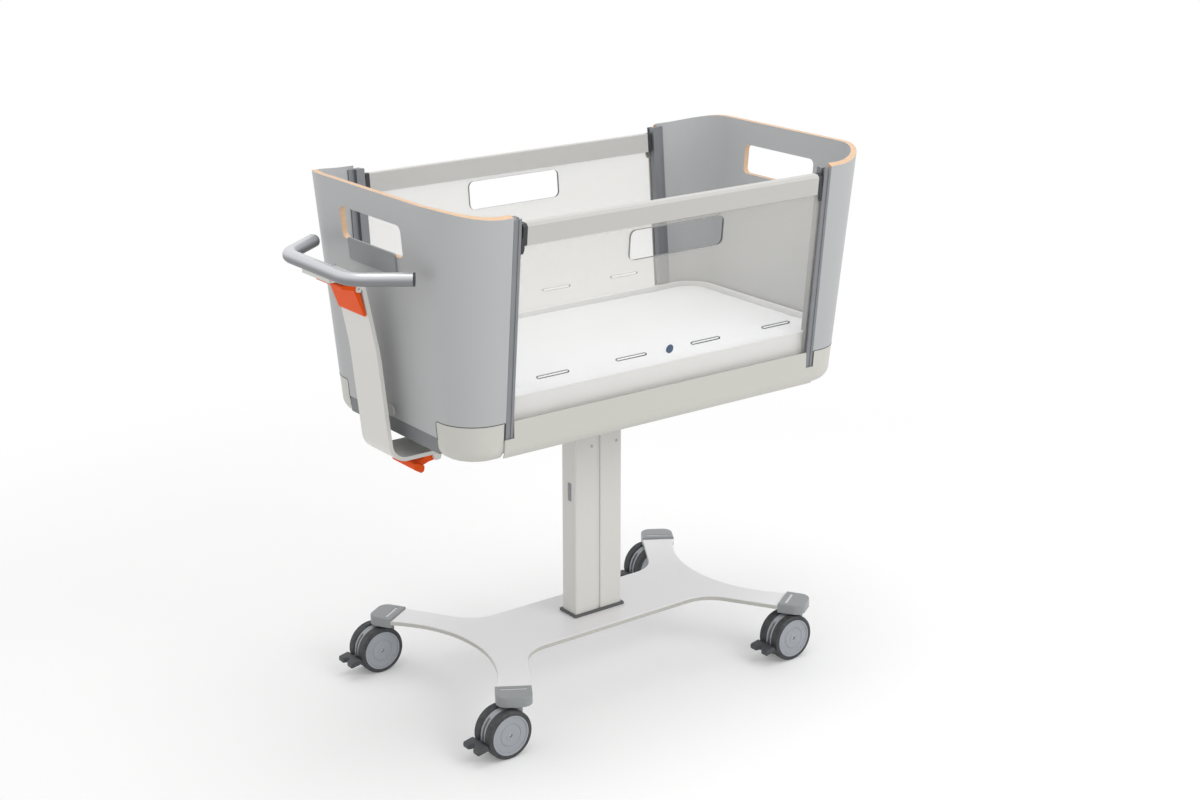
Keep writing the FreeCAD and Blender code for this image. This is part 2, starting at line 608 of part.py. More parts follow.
def frame_ring(body, length, width, hole_length, hole_width, bottom, height):
    """A rectangular ring between two rectangular tubes."""
    pad(box_outline(new_sketch(body, "XY_Plane", bottom), "-%s / 2" % length, "%s / 2" % length,
                    "-%s / 2" % width, "%s / 2" % width), height)
    pocket(box_outline(new_sketch(body, "XY_Plane", bottom), "-%s / 2" % hole_length,
                       "%s / 2" % hole_length, "-%s / 2" % hole_width, "%s / 2" % hole_width),
           height, reverse=True)


# ---------------------------------------------------------------- tilting head
CHEEK_IN = "(head_width / 2 - cheek_thick)"
LUG_OUT = "(head_width / 2 - cheek_thick - lug_play)"


def tilt_head():
    """Plate on the inner tube with two cheeks for the tilt pin and a quadrant with the clamp slot."""
    head = new_body("tilt_head")
    pad(box_outline(new_sketch(head, "XY_Plane", "inner_top"), "-head_length / 2", "head_length / 2",
                    "-head_width / 2", "head_width / 2"), "head_thick")
    foot = "(inner_top + head_thick)"
    cheek = [("-head_length / 2", "inner_top"), ("head_length / 2", "inner_top"),
             ("head_length / 2", foot), ("eye_radius", "tilt_z", ("0", "tilt_z + eye_radius")),
             ("-eye_radius", "tilt_z"), ("-head_length / 2", foot)]
    cheek_pad = pad(outline(new_sketch(head, "XZ_Plane", CHEEK_IN), cheek), "cheek_thick")
    reach = "(clamp_arm + clamp_radius + clamp_edge)"
    spread = "(tilt_angle + quadrant_angle)"
    quadrant = [("0", "tilt_z - eye_radius"),
                ("-%s * cos(%s)" % (reach, spread), "tilt_z - %s * sin(%s)" % (reach, spread),
                 ("-" + reach, "tilt_z")),
                ("-%s * cos(%s)" % (reach, spread), "tilt_z + %s * sin(%s)" % (reach, spread)),
                ("0", "tilt_z + eye_radius")]
    quadrant_pad = pad(outline(new_sketch(head, "XZ_Plane", CHEEK_IN), quadrant), "cheek_thick")
    mirror_features(head, [cheek_pad, quadrant_pad], "XZ_Plane")
    far, close = "(clamp_arm + clamp_radius + clamp_play)", "(clamp_arm - clamp_radius - clamp_play)"
    swing = "(tilt_angle + swing_angle)"
    slot = [("-%s * cos(%s)" % (far, swing), "tilt_z - %s * sin(%s)" % (far, swing), ("-" + far, "tilt_z")),
            ("-%s * cos(%s)" % (far, swing), "tilt_z + %s * sin(%s)" % (far, swing)),
            ("-%s * cos(%s)" % (close, swing), "tilt_z + %s * sin(%s)" % (close, swing),
             ("-" + close, "tilt_z")),
            ("-%s * cos(%s)" % (close, swing), "tilt_z - %s * sin(%s)" % (close, swing))]
    pocket(outline(new_sketch(head, "XZ_Plane"), slot), "head_width * 2", both=True)
    pocket(circle(new_sketch(head, "XZ_Plane"), "0", "tilt_z", "tilt_pin_radius"), "head_width * 2",
           both=True)

    shaft = new_body("tilt_pin")
    pad(circle(new_sketch(shaft, "XZ_Plane"), "0", "tilt_z", "tilt_pin_radius"), "head_width + 2 * pin_end",
        both=True)

    bolt = new_body("clamp_bolt")
    pad(circle(new_sketch(bolt, "XZ_Plane"), "-clamp_arm", "tilt_z", "clamp_radius"),
        "head_width + 2 * clamp_play", both=True)
    end = pad(circle(new_sketch(bolt, "XZ_Plane", "head_width / 2 + clamp_play"), "-clamp_arm", "tilt_z",
                     "clamp_radius * 1.8"), "clamp_radius")
    mirror_features(bolt, [end], "XZ_Plane")


# ---------------------------------------------------------------- crib frame and tray
def crib_frame():
    """Pressed frame under the tray: tapered rim, spine with the tilt lugs, spars and cross members."""
    body = new_body("crib_frame")
    half = "(corner_x + %s)" % wall("frame_bottom", "end_thick")
    rim = pad(box_outline(new_sketch(body, "XY_Plane", "frame_bottom"), "-" + half, half,
                          "-frame_half_width", "frame_half_width", "frame_corner"),
              "frame_top - frame_bottom")
    rim.setExpression("TaperAngle", bound(LEAN))
    bands = [("-frame_half_width + frame_side", "-spar_y - frame_spar"),
             ("-spar_y", "-spine_y - member"), ("-spine_y", "spine_y"),
             ("spine_y + member", "spar_y"), ("spar_y + frame_spar", "frame_half_width - frame_side")]
    bays = [("-%s + frame_end" % half, "-cross_x - member"), ("member - cross_x", "cross_x - member"),
            ("cross_x + member", half + " - frame_end")]
    windows = new_sketch(body, "XY_Plane", "frame_bottom")
    for low_y, high_y in bands:
        for low_x, high_x in bays:
            box_outline(windows, low_x, high_x, low_y, high_y)
    pocket(windows, "frame_top - frame_bottom", reverse=True)

    far = "(-clamp_arm - clamp_edge - clamp_radius)"
    lug = [(far, "frame_bottom + lug_root"), (far, "tilt_z - clamp_edge", "lug_round"),
           ("-eye_radius * 2", "tilt_z - clamp_edge", "lug_round"),
           ("-eye_radius", "tilt_z - eye_radius", "lug_round"),
           ("eye_radius", "tilt_z - eye_radius", "lug_round"),
           ("eye_radius * 2.4", "frame_bottom"), ("eye_radius * 2.4", "frame_bottom + lug_root")]
    plate = pad(outline(new_sketch(body, "XZ_Plane", LUG_OUT + " - cheek_thick"), lug), "cheek_thick")
    mirror_features(body, [plate], "XZ_Plane")
    pocket(circle(new_sketch(body, "XZ_Plane"), "0", "tilt_z", "tilt_pin_radius + pin_play"),
           "head_width * 2", both=True)
    pocket(circle(new_sketch(body, "XZ_Plane"), "-clamp_arm", "tilt_z", "clamp_radius"),
           "head_width * 2", both=True)
    stand = box_outline(new_sketch(body, "XY_Plane", "bar_z + bar_thick / 2"), "-bar_end - stand_length",
                        "-bar_end", "-stand_half", "stand_half")
    pad(stand, "frame_bottom - bar_z - bar_thick / 2")


def tray_outline(item, inset):
    """The tray's plan, drawn in by an inset: its corners share the end walls' corner axes."""
    half_x, half_y, corner = ("(%s - (%s))" % (size, inset)
                              for size in ("tray_half_x", "tray_half_y", "tray_round"))
    return box_outline(item, "-" + half_x, half_x, "-" + half_y, half_y, corner)


def tray():
    """Moulded mattress tray: floor, upright wall and a small outward lip."""
    body = new_body("tray")
    pad(tray_outline(new_sketch(body, "XY_Plane", "frame_top"), "0"), "tray_tall")
    pad(tray_outline(new_sketch(body, "XY_Plane", "tray_top - tray_lip_height"), "-tray_lip"),
        "tray_lip_height")
    pocket(tray_outline(new_sketch(body, "XY_Plane", "frame_top + tray_floor"), "tray_wall"), "tray_tall",
           reverse=True)


def mattress():
    body = new_body("mattress")
    seat = "(frame_top + tray_floor + mattress_play)"
    pad(tray_outline(new_sketch(body, "XY_Plane", seat), "tray_wall + mattress_gap"),
        "mattress_top - " + seat)
    top = value("mattress_top")
    soften(body, "Fillet", "mattress_edge", lambda p, d: abs(p.z - top) < TOUCH)


# ---------------------------------------------------------------- end walls
def wall_section(item, bottom, top, outer, inner, start="0"):
    """Leaning slab: its faces lie at the given insets from the end wall's outer face."""
    return outline(item, [("%s + %s" % (start, wall(bottom, outer)), bottom),
                          ("%s + %s" % (start, wall(top, outer)), top),
                          ("%s + %s" % (start, wall(top, inner)), top),
                          ("%s + %s" % (start, wall(bottom, inner)), bottom)])


def end_panel():
    """Moulded plywood end wall, U-shaped in plan: flat back, conical corners and two short legs."""
    body = new_body("end_panel_right", "corner_x")
    pad(wall_section(new_sketch(body, "XZ_Plane"), "end_bottom", "end_top", "0", "end_thick"),
        "2 * corner_y", both=True)
    profile = wall_section(new_sketch(body, "XZ_Plane", "-corner_y"), "end_bottom", "end_top", "0",
                           "end_thick")
    corner = revolve(profile, (profile, ["V_Axis"]), "90")
    leg = pad(wall_section(new_sketch(body, "YZ_Plane"), "end_bottom", "end_top", "0", "end_thick",
                           "corner_y"), "corner_x - post_out", reverse=True)
    mirror_features(body, [corner, leg], "XZ_Plane")

    reach = "(corner_y + %s + end_thick)" % wall("end_top")
    start = "post_out - corner_x - end_thick"
    through = "2 * (corner_radius + end_thick) + corner_x - post_out"
    run = "(corner_y + %s - arch_start)" % wall("end_top")
    radius = "((%s ^ 2 + arch_drop ^ 2) / (2 * arch_drop))" % run
    half_drop = "(%s - sqrt(%s ^ 2 - (%s / 2) ^ 2))" % (radius, radius, run)
    arch = new_sketch(body, "YZ_Plane", start)
    for side in ("", "-"):
        outline(arch, [("%sarch_start" % side, "end_top",
                        ("%s(arch_start + %s / 2)" % (side, run), "end_top - " + half_drop)),
                       ("%s(arch_start + %s)" % (side, run), "end_top - arch_drop"),
                       ("%s%s" % (side, reach), "end_top - arch_drop"),
                       ("%s%s" % (side, reach), "end_top + arch_drop"),
                       ("%sarch_start" % side, "end_top + arch_drop")])
    pocket(arch, through, reverse=True)
    notch = new_sketch(body, "YZ_Plane", start)
    below = "end_bottom - end_thick"
    for side in ("", "-"):
        outline(notch, [("%scover_edge" % side, below), ("%s%s" % (side, reach), below),
                        ("%s%s" % (side, reach), "end_shoulder"),
                        ("%scover_edge" % side, "end_shoulder", "cover_round")])
    pocket(notch, through, reverse=True)
    grip = box_outline(new_sketch(body, "YZ_Plane", "corner_radius / 2"), "-grip_half", "grip_half",
                       "grip_bottom", "grip_top", "grip_corner")
    pocket(grip, through, reverse=True)
    mirrored(body, "end_panel_left", LEFT_RIGHT)


def end_strips():
    """Dark strip under each end wall, seated on the frame's end face."""
    body = new_body("end_strip", "corner_x", kept=False)
    pad(wall_section(new_sketch(body, "XZ_Plane"), "strip_bottom", "end_bottom", "strip_inset",
                     "end_thick"), "2 * (cover_edge - strip_gap)", both=True)
    group("end_strips", [body, mirrored(body, "end_strip_left", LEFT_RIGHT, kept=False)])


def cover_section(item, start="0"):
    """Thin C-shaped moulding: leaning skin, quarter-round under edge and an inner upstand."""
    skin = "(%s + %s)"
    floor_in = "(%s + %s)" % (start, wall("cover_bottom", "cover_floor"))
    return outline(item, [
        (skin % (start, wall("cover_top")), "cover_top"),
        (skin % (start, wall("cover_top", "cover_wall")), "cover_top"),
        (skin % (start, wall("cover_bottom", "cover_wall")), "cover_bottom + cover_wall",
         "cover_bend - cover_wall"),
        (floor_in + " + cover_wall", "cover_bottom + cover_wall"),
        (floor_in + " + cover_wall", "frame_bottom"),
        (floor_in, "frame_bottom"),
        (floor_in, "cover_bottom"),
        (skin % (start, wall("cover_bottom")), "cover_bottom", "cover_bend")])


def corner_covers():
    """Four corner mouldings that close the crib's lower corners round the frame."""
    body = new_body("corner_cover", "corner_x", "corner_y", kept=False)
    profile = cover_section(new_sketch(body, "XZ_Plane"))
    revolve(profile, (profile, ["V_Axis"]), "90")
    pad(cover_section(new_sketch(body, "XZ_Plane")), "corner_y - cover_edge")
    pad(cover_section(new_sketch(body, "YZ_Plane")), "cover_leg", reverse=True)
    edge, top = value("cover_edge - corner_y"), value("cover_top")
    soften(body, "Fillet", "cover_round",
           lambda p, d: abs(p.y - edge) < TOUCH and abs(p.z - top) < TOUCH)
    front = mirrored(body, "corner_cover_rf", FRONT_BACK, kept=False)
    left = [mirrored(item, "corner_cover_l%d" % i, LEFT_RIGHT, kept=False)
            for i, item in enumerate((body, front))]
    group("corner_covers", [body, front] + left)


# ---------------------------------------------------------------- posts and sliding sides
def side_body(label, kept=True):
    """A body in the back wall's leaning frame: local Z runs up the wall, local Y outwards."""
    body = new_body(label, "0", "panel_y", "ref_z", kept)
    turn(body, Vector(1, 0, 0), "-" + LEAN)
    return body


def corner_posts():
    """Extruded channel posts: slot for the sliding side, flange behind the end wall's leg."""
    body = side_body("corner_post_back_right")
    back = "(side_y - panel_y - end_thick)"
    middle = "(post_in + post_width / 2)"
    shape = [("post_in", "-post_back"), ("post_out", "-post_back"),
             ("post_out", back + " - flange_thick"),
             ("post_out + flange_length", back + " - flange_thick"),
             ("post_out + flange_length", back), ("post_out", back), ("post_out", "post_lip", "post_round"),
             (middle + " + post_groove / 2", "post_lip"),
             (middle + " + post_groove / 2", "post_lip - post_groove_depth"),
             (middle + " - post_groove / 2", "post_lip - post_groove_depth"),
             (middle + " - post_groove / 2", "post_lip"),
             ("post_in", "post_lip", "post_round"), ("post_in", "slot_width / 2"),
             ("post_in + slot_depth", "slot_width / 2"), ("post_in + slot_depth", "-slot_width / 2"),
             ("post_in", "-slot_width / 2")]
    pad(outline(new_sketch(body, "XY_Plane", up_wall("post_bottom")), shape),
        "%s - %s" % (up_wall("post_top"), up_wall("post_bottom")))
    over_tray = box_outline(new_sketch(body, "YZ_Plane", "post_in - post_lip"), "-2 * post_back",
                            "-post_tail", up_wall("post_bottom") + " - post_lip",
                            up_wall("tray_top + tray_play"))
    pocket(over_tray, "post_width + flange_length + 2 * post_lip", reverse=True)
    front = mirrored(body, "corner_post_front_right", FRONT_BACK)
    mirrored(body, "corner_post_back_left", LEFT_RIGHT)
    mirrored(front, "corner_post_front_left", LEFT_RIGHT)


def rail_section(item):
    """Top rail: bevelled bar with a slot underneath for the clear panel."""
    half = "panel_thick / 2"
    low, high, seat = up_wall("rail_bottom"), up_wall("rail_top"), up_wall("panel_top")
    return outline(item, [("-rail_in", low), ("-" + half, low), ("-" + half, seat), (half, seat),
                          (half, low), ("rail_out", low), ("rail_out", high + " - rail_bevel"),
                          ("rail_out - rail_bevel", high, "rail_bevel * 0.2"),
                          ("-rail_in", high, "rail_bevel * 0.4")])


def sliding_side():
    """Clear panel with a grip window and four vents, its top rail, and the rail's two latch ends."""
    panel = side_body("clear_side_back")
    low, high = up_wall("panel_bottom"), up_wall("panel_top")
    pad(box_outline(new_sketch(panel, "XZ_Plane"), "-panel_half", "panel_half", low, high),
        "panel_thick", both=True)
    holes = new_sketch(panel, "XZ_Plane")
    box_outline(holes, "-window_half", "window_half", up_wall("window_bottom"), up_wall("window_top"),
                "window_corner")
    vent_z = up_wall("vent_z")
    for step in (-3, -1, 1, 3):
        middle = "%d * vent_x" % step
        box_outline(holes, middle + " - vent_length / 2", middle + " + vent_length / 2",
                    vent_z + " - vent_width / 2", vent_z + " + vent_width / 2", "vent_width * 0.45")
    pocket(holes, "panel_thick * 3", both=True)
    mirrored(panel, "clear_side_front", FRONT_BACK)

    rail = side_body("top_rail_back")
    pad(rail_section(new_sketch(rail, "YZ_Plane")), "2 * rail_half", both=True)
    mirrored(rail, "top_rail_front", FRONT_BACK)

    latch = side_body("rail_end", kept=False)
    pad(rail_section(new_sketch(latch, "YZ_Plane", "rail_half")), "rail_cap")
    lead = " + 2 * latch_round"
    tail = [("latch_in", up_wall("latch_bottom") + lead), ("latch_in + latch_round", up_wall("latch_bottom")),
            ("latch_out", up_wall("latch_bottom")), ("latch_out", up_wall("latch_top")),
            ("rail_half + rail_cap - latch_round / 2", up_wall("latch_top") + lead),
            ("latch_in", up_wall("latch_top") + lead)]
    pad(outline(new_sketch(latch, "XZ_Plane", "-rail_out"), tail), "rail_out - panel_thick / 2")
    other = mirrored(latch, "rail_end_left", LEFT_RIGHT, kept=False)
    back = group("rail_ends_back", [latch, other])
    mirrored(back, "rail_ends_front", FRONT_BACK)


def base_rails():
    """Lower side rail: skin outside the panel's slot, and a foot at each end under the post."""
    body = new_body("base_rail_back")
    back = "(side_y - base_rail_wall)"
    bend = "(base_rail_low + base_rail_bend)"
    centre = "(side_y - base_rail_bend)"
    inner_r = "(base_rail_bend - base_rail_wall)"
    ends, vias = [], []
    for radius in ("base_rail_bend", inner_r):
        across = "(base_rail_slot - %s)" % centre
        half = "(acos(%s / %s) / 2)" % (across, radius)
        ends.append("(%s - sqrt(%s ^ 2 - %s ^ 2))" % (bend, radius, across))
        vias.append(("%s + %s * cos(%s)" % (centre, radius, half),
                     "%s - %s * sin(%s)" % (bend, radius, half)))

    def skin(top):
        return [("side_y", top), (back, top), (back, bend, vias[1]), ("base_rail_slot", ends[1]),
                ("base_rail_slot", ends[0], vias[0]), ("side_y", bend)]
    pad(outline(new_sketch(body, "YZ_Plane"), skin("cover_top")), "2 * (post_in - base_rail_gap)",
        both=True)
    pad(outline(new_sketch(body, "YZ_Plane"), skin("post_bottom - foot_gap")),
        "2 * (corner_x - cover_leg - base_rail_gap)", both=True)
    seat = "(post_bottom - foot_gap)"
    into = back + " + base_rail_wall / 2"
    foot = [("frame_half_width", "frame_bottom"), (into, "frame_bottom"), (into, seat),
            ("frame_half_width + wall_slope * (%s - frame_bottom)" % seat, seat)]
    block = pad(outline(new_sketch(body, "YZ_Plane", "foot_in"), foot),
                "corner_x - cover_leg - base_rail_gap - foot_in")
    mirror_features(body, [block], "YZ_Plane")
    mirrored(body, "base_rail_front", FRONT_BACK)


# ---------------------------------------------------------------- handle and releases
def handle_arm():
    """Wide flat bar: bolted under the frame, bent up past the end wall and out below the loop."""
    body = new_body("handle_arm")
    centre = [("-bar_end", "bar_z"), ("-bar_low_x", "bar_z", "bend_low"),
              ("-bar_mid_x", "bar_mid_z", "bend_mid"), ("-bar_top_x", "bar_top_z", "bend_top"),
              ("-bar_tip", "bar_top_z")]
    path = outline(new_sketch(body, "XZ_Plane"), centre, closed=False)
    section = box_outline(new_sketch(body, "YZ_Plane", "-bar_end"), "-bar_width / 2", "bar_width / 2",
                          "bar_z - bar_thick / 2", "bar_z + bar_thick / 2")
    sweep = body.newObject("PartDesign::AdditivePipe", "Pipe_handle_arm")
    sweep.Profile = section
    sweep.Spine = path
    body.Tip = sweep
    ear = [("-trigger_x + ear_size * 0.7", "trigger_z - ear_size * 1.2"),
           ("-trigger_x + ear_size * 1.5", "trigger_z + ear_size"),
           ("-trigger_x - ear_size * 0.7", "trigger_z + ear_size", "ear_size / 2"),
           ("-trigger_x - ear_size * 0.8", "trigger_z - ear_size", "ear_size / 2")]
    upper = pad(outline(new_sketch(body, "XZ_Plane", "bar_width / 2 - ear_thick"), ear), "ear_thick")
    mirror_features(body, [upper], "XZ_Plane")
    pocket(circle(new_sketch(body, "XZ_Plane"), "-trigger_x", "trigger_z", "trigger_pin_radius"),
           "bar_width * 2", both=True)
    under = "bar_z - bar_thick / 4"
    hanger = [("-lever_x - lever_eye * 1.7", under),
              ("-lever_x - lever_eye", "lever_z - lever_eye", "lever_eye * 0.7"),
              ("-lever_x + lever_eye", "lever_z - lever_eye", "lever_eye * 0.7"),
              ("-lever_x + lever_eye * 1.7", under)]
    lower = pad(outline(new_sketch(body, "XZ_Plane", "lever_neck + lever_play"), hanger), "lever_ear")
    mirror_features(body, [lower], "XZ_Plane")
    pocket(circle(new_sketch(body, "XZ_Plane"), "-lever_x", "lever_z", "lever_pin_radius"),
           "bar_width * 2", both=True)


def push_loop():
    """Push handle: oval aluminium tube bent back at both sides, its ends closed by thin plugs."""
    half = new_body("push_loop_half", z="loop_z", kept=False)
    centre = [("-loop_x", "0"), ("-loop_x", "loop_corner_y", "loop_bend"), ("-loop_end_x", "loop_end_y")]
    path = outline(new_sketch(half, "XY_Plane"), centre, closed=False)
    for kind, inset in (("AdditivePipe", "0"), ("SubtractivePipe", "loop_wall")):
        section = box_outline(new_sketch(half, "XZ_Plane"), "-loop_x - loop_width / 2 + " + inset,
                              "loop_width / 2 - loop_x - " + inset, "%s - loop_height / 2" % inset,
                              "loop_height / 2 - " + inset, "loop_round - " + inset)
        sweep = half.newObject("PartDesign::" + kind, kind + "_push_loop")
        sweep.Profile = section
        sweep.Spine = path
        half.Tip = sweep
    whole = doc.addObject("Part::MultiFuse", "Fuse_push_loop")
    whole.Label = "push_loop"
    whole.Shapes = [half, mirrored(half, "push_loop_other_half", FRONT_BACK, kept=False)]
    parts.append(whole)

    plug = new_body("loop_plug", "-loop_end_x", "loop_end_y", "loop_z", kept=False)
    turn(plug, Vector(0, 0, 1), "atan((loop_end_y - loop_corner_y) / (loop_x - loop_end_x))")
    pad(box_outline(new_sketch(plug, "YZ_Plane"), "-loop_width / 2", "loop_width / 2",
                    "-loop_height / 2", "loop_height / 2", "loop_round"), "plug_length")
    group("loop_plugs", [plug, mirrored(plug, "loop_plug_front", FRONT_BACK, kept=False)])


def end_pad():
    """Thin plate on the left end wall behind the push loop."""
    middle = "((pad_bottom + pad_top) / 2)"
    body = new_body("end_pad", "-corner_x - %s" % wall(middle), "0", middle)
    turn(body, Vector(0, 1, 0), "-" + LEAN)
    tall = "(pad_top - pad_bottom)"
    pad(box_outline(new_sketch(body, "YZ_Plane"), "-pad_half", "pad_half", "-%s / 2" % tall,
                    "%s / 2" % tall, "pad_round"), "pad_thick", reverse=True)


def end_buttons():
    """Round cap over the bolt that holds each end wall to the frame."""
    body = new_body("end_button", "corner_x + %s" % wall("button_z"), "0", "button_z", kept=False)
    turn(body, Vector(0, 1, 0), LEAN)
    pad(circle(new_sketch(body, "YZ_Plane"), "0", "0", "button_radius"), "button_thick")
    reach = value("button_thick")
    soften(body, "Fillet", "button_thick * 0.6", lambda p, d: abs(p.x - reach) < TOUCH)
    group("end_buttons", [body, mirrored(body, "end_button_left", LEFT_RIGHT, kept=False)])


def releases():
    """Height trigger under the loop, tilt lever under the crib, and their two pins."""
    trigger = new_body("height_trigger")
    slope = "((bar_top_x - bar_mid_x) / (bar_top_z - bar_mid_z))"
    plate_in = "(-bar_top_x + %s * (bar_top_z - trigger_low) - bar_thick / 2 - trigger_play)" % slope
    soft = "trigger_thick * 0.4"
    shape = [("-trigger_x + trigger_thick * 0.7", "trigger_z + trigger_thick * 0.8", "trigger_thick * 0.6"),
             ("-trigger_tip", "trigger_z + trigger_thick * 2", soft),
             ("-trigger_tip", "trigger_z + trigger_thick * 0.8", soft),
             ("-trigger_x - trigger_thick * 1.6", "trigger_z - trigger_thick * 0.6", "trigger_thick * 1.6"),
             (plate_in + " - trigger_thick", "trigger_low", soft),
             (plate_in, "trigger_low", "trigger_thick * 0.2"),
             ("-trigger_x + trigger_thick * 0.8", "trigger_z - trigger_thick * 1.2", soft)]
    pad(outline(new_sketch(trigger, "XZ_Plane"), shape), "2 * trigger_half", both=True)
    pocket(circle(new_sketch(trigger, "XZ_Plane"), "-trigger_x", "trigger_z",
                  "trigger_pin_radius + pin_play"), "bar_width * 2", both=True)

    lever = new_body("tilt_lever")
    neck = [("-lever_x + lever_eye", "lever_z + lever_thick * 0.4", "lever_thick * 0.3"),
            ("-lever_x - lever_thick * 2", "lever_z + lever_thick * 0.4", "lever_thick"),
            ("-lever_tip + lever_thick * 0.8", "lever_low + lever_thick * 1.6", "lever_thick * 0.6"),
            ("-lever_tip + lever_thick * 1.2", "lever_low + lever_thick * 0.6", "lever_thick * 0.4"),
            ("-lever_x - lever_thick * 1.6", "lever_z - lever_thick * 0.9", "lever_thick"),
            ("-lever_x + lever_eye", "lever_z - lever_thick * 0.6", "lever_thick * 0.4")]
    pad(outline(new_sketch(lever, "XZ_Plane"), neck), "2 * lever_neck", both=True)
    paddle = [("-lever_tip + lever_thick * 2.2", "lever_low + lever_thick * 1.4", "lever_thick * 0.4"),
              ("-lever_tip", "lever_low + lever_thick * 2.2", "lever_thick * 0.3"),
              ("-lever_tip - lever_thick * 0.3", "lever_low + lever_thick", "lever_thick * 0.6"),
              ("-lever_tip + lever_thick * 1.4", "lever_low", "lever_thick * 0.3"),
              ("-lever_tip + lever_thick * 2", "lever_low + lever_thick * 0.3", "lever_thick * 0.2")]
    pad(outline(new_sketch(lever, "XZ_Plane"), paddle), "2 * lever_half", both=True)
    pocket(circle(new_sketch(lever, "XZ_Plane"), "-lever_x", "lever_z", "lever_pin_radius + pin_play"),
           "bar_width * 2", both=True)

    pins = new_body("release_pins")
    pad(circle(new_sketch(pins, "XZ_Plane"), "-trigger_x", "trigger_z", "trigger_pin_radius"),
        "bar_width", both=True)
    pad(circle(new_sketch(pins, "XZ_Plane"), "-lever_x", "lever_z", "lever_pin_radius"),
        "2 * (lever_neck + lever_play + lever_ear)", both=True)


base_plate()
castor_caps()
castor_stems()
for end, end_name in ((-1, "left"), (1, "right")):
    for side, side_name in ((-1, "front"), (1, "back")):
        castor("%s_%s" % (side_name, end_name), "%d * castor_x" % end, "%d * castor_y" % side)
column()
tilt_head()
crib_frame()
tray()
mattress()
end_panel()
end_strips()
corner_covers()
corner_posts()
sliding_side()
base_rails()
handle_arm()
push_loop()
end_pad()
end_buttons()
releases()
doc.recompute()

faults = [item.Label for item in doc.Objects if "Invalid" in item.State or "Error" in item.State]
for item in doc.Objects:
    if item.TypeId in ("PartDesign::Pocket", "PartDesign::Groove", "PartDesign::SubtractivePipe"):
        if item.BaseFeature is None or item.BaseFeature.Shape.Volume - item.Shape.Volume < 0.1:
            faults.append(item.Label + " cuts nothing")
for item in parts:
    if item.Shape.isNull() or not item.Shape.isValid():
        faults.append(item.Label + " has no valid shape")
if faults:
    raise RuntimeError("; ".join(faults))

os.makedirs("parts", exist_ok=True)
for item in parts:
    item.Shape.exportStep(os.path.join("parts", item.Label + ".step"))
print(len(parts), "parts written")
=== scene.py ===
"""Looks for the hospital bassinet: finishes for all CAD pieces, soft mattress, small trim, light."""

import math

import bmesh
import bpy
from mathutils import Matrix, Vector, noise


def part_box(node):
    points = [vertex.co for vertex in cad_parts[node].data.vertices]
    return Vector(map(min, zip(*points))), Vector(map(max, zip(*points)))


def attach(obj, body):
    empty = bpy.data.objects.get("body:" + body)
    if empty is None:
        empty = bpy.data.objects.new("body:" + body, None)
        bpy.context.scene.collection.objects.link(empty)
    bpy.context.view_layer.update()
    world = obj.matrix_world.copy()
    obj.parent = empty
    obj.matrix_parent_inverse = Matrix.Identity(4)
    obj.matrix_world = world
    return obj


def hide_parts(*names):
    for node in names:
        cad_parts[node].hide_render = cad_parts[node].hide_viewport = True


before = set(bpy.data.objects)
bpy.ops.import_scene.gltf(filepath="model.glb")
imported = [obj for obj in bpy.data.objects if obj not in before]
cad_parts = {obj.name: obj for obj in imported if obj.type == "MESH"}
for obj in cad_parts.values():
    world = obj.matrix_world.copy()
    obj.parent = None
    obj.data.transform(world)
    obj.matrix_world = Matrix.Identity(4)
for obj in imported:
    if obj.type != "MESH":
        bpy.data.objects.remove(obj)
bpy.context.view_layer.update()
MM = 0.001
TURN = 2 * math.pi

# The column axis, from the tube that stands on the base plate.
COLUMN_LOW, COLUMN_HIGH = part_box("column_outer_tube")
AXIS_X = (COLUMN_LOW.x + COLUMN_HIGH.x) / 2

# The crib's corners lie on four upright axes, and its walls lean out from them by one slope.
CORNER_X, CORNER_Y = 400 * MM, 171 * MM
CORNERS = (("front_left", -1, -1), ("front_right", 1, -1),
           ("back_left", -1, 1), ("back_right", 1, 1))
WALL_SLOPE, WALL_REF_Z, WALL_REF_RADIUS = 0.09, 680 * MM, 78 * MM
WALL_LEAN = math.atan(WALL_SLOPE)
WALL_THICK = 12 * MM
PANE_REF_Y = 243 * MM


# ---------------------------------------------------------------- colours
def srgb(red, green, blue):
    """Linear colour from screen values of 0 to 255."""
    def linear(channel):
        part = channel / 255
        return part / 12.92 if part <= 0.04045 else ((part + 0.055) / 1.055) ** 2.4
    return tuple(linear(channel) for channel in (red, green, blue))


def shade(colour, factor, lift=0.0):
    """The same colour made darker or lighter, never brighter than white."""
    return [min(1.0, channel * factor + lift) for channel in colour]


LAMINATE = srgb(180, 181, 182)
PLY_DARK, PLY_LIGHT = srgb(200, 152, 108), srgb(234, 208, 178)
ACRYLIC, ACRYLIC_RIM = srgb(216, 214, 208), srgb(96, 100, 101)
TYRE, TYRE_DUST = srgb(52, 54, 58), srgb(104, 103, 100)
DISC, CAP, STRIPE = srgb(164, 168, 174), srgb(148, 151, 153), srgb(222, 223, 224)
# The push loop's painted light on top and painted shade underneath
LOOP_PAINTED_LIGHT, LOOP_PAINTED_SHADE = srgb(210, 211, 215), srgb(126, 127, 130)
STEEL, STEEL_DARK, STEEL_LIGHT = srgb(190, 190, 192), srgb(170, 170, 172), srgb(202, 202, 203)
COTTON = srgb(246, 247, 249)
WHITE, BLACK = (1.0, 1.0, 1.0), (0.0, 0.0, 0.0)


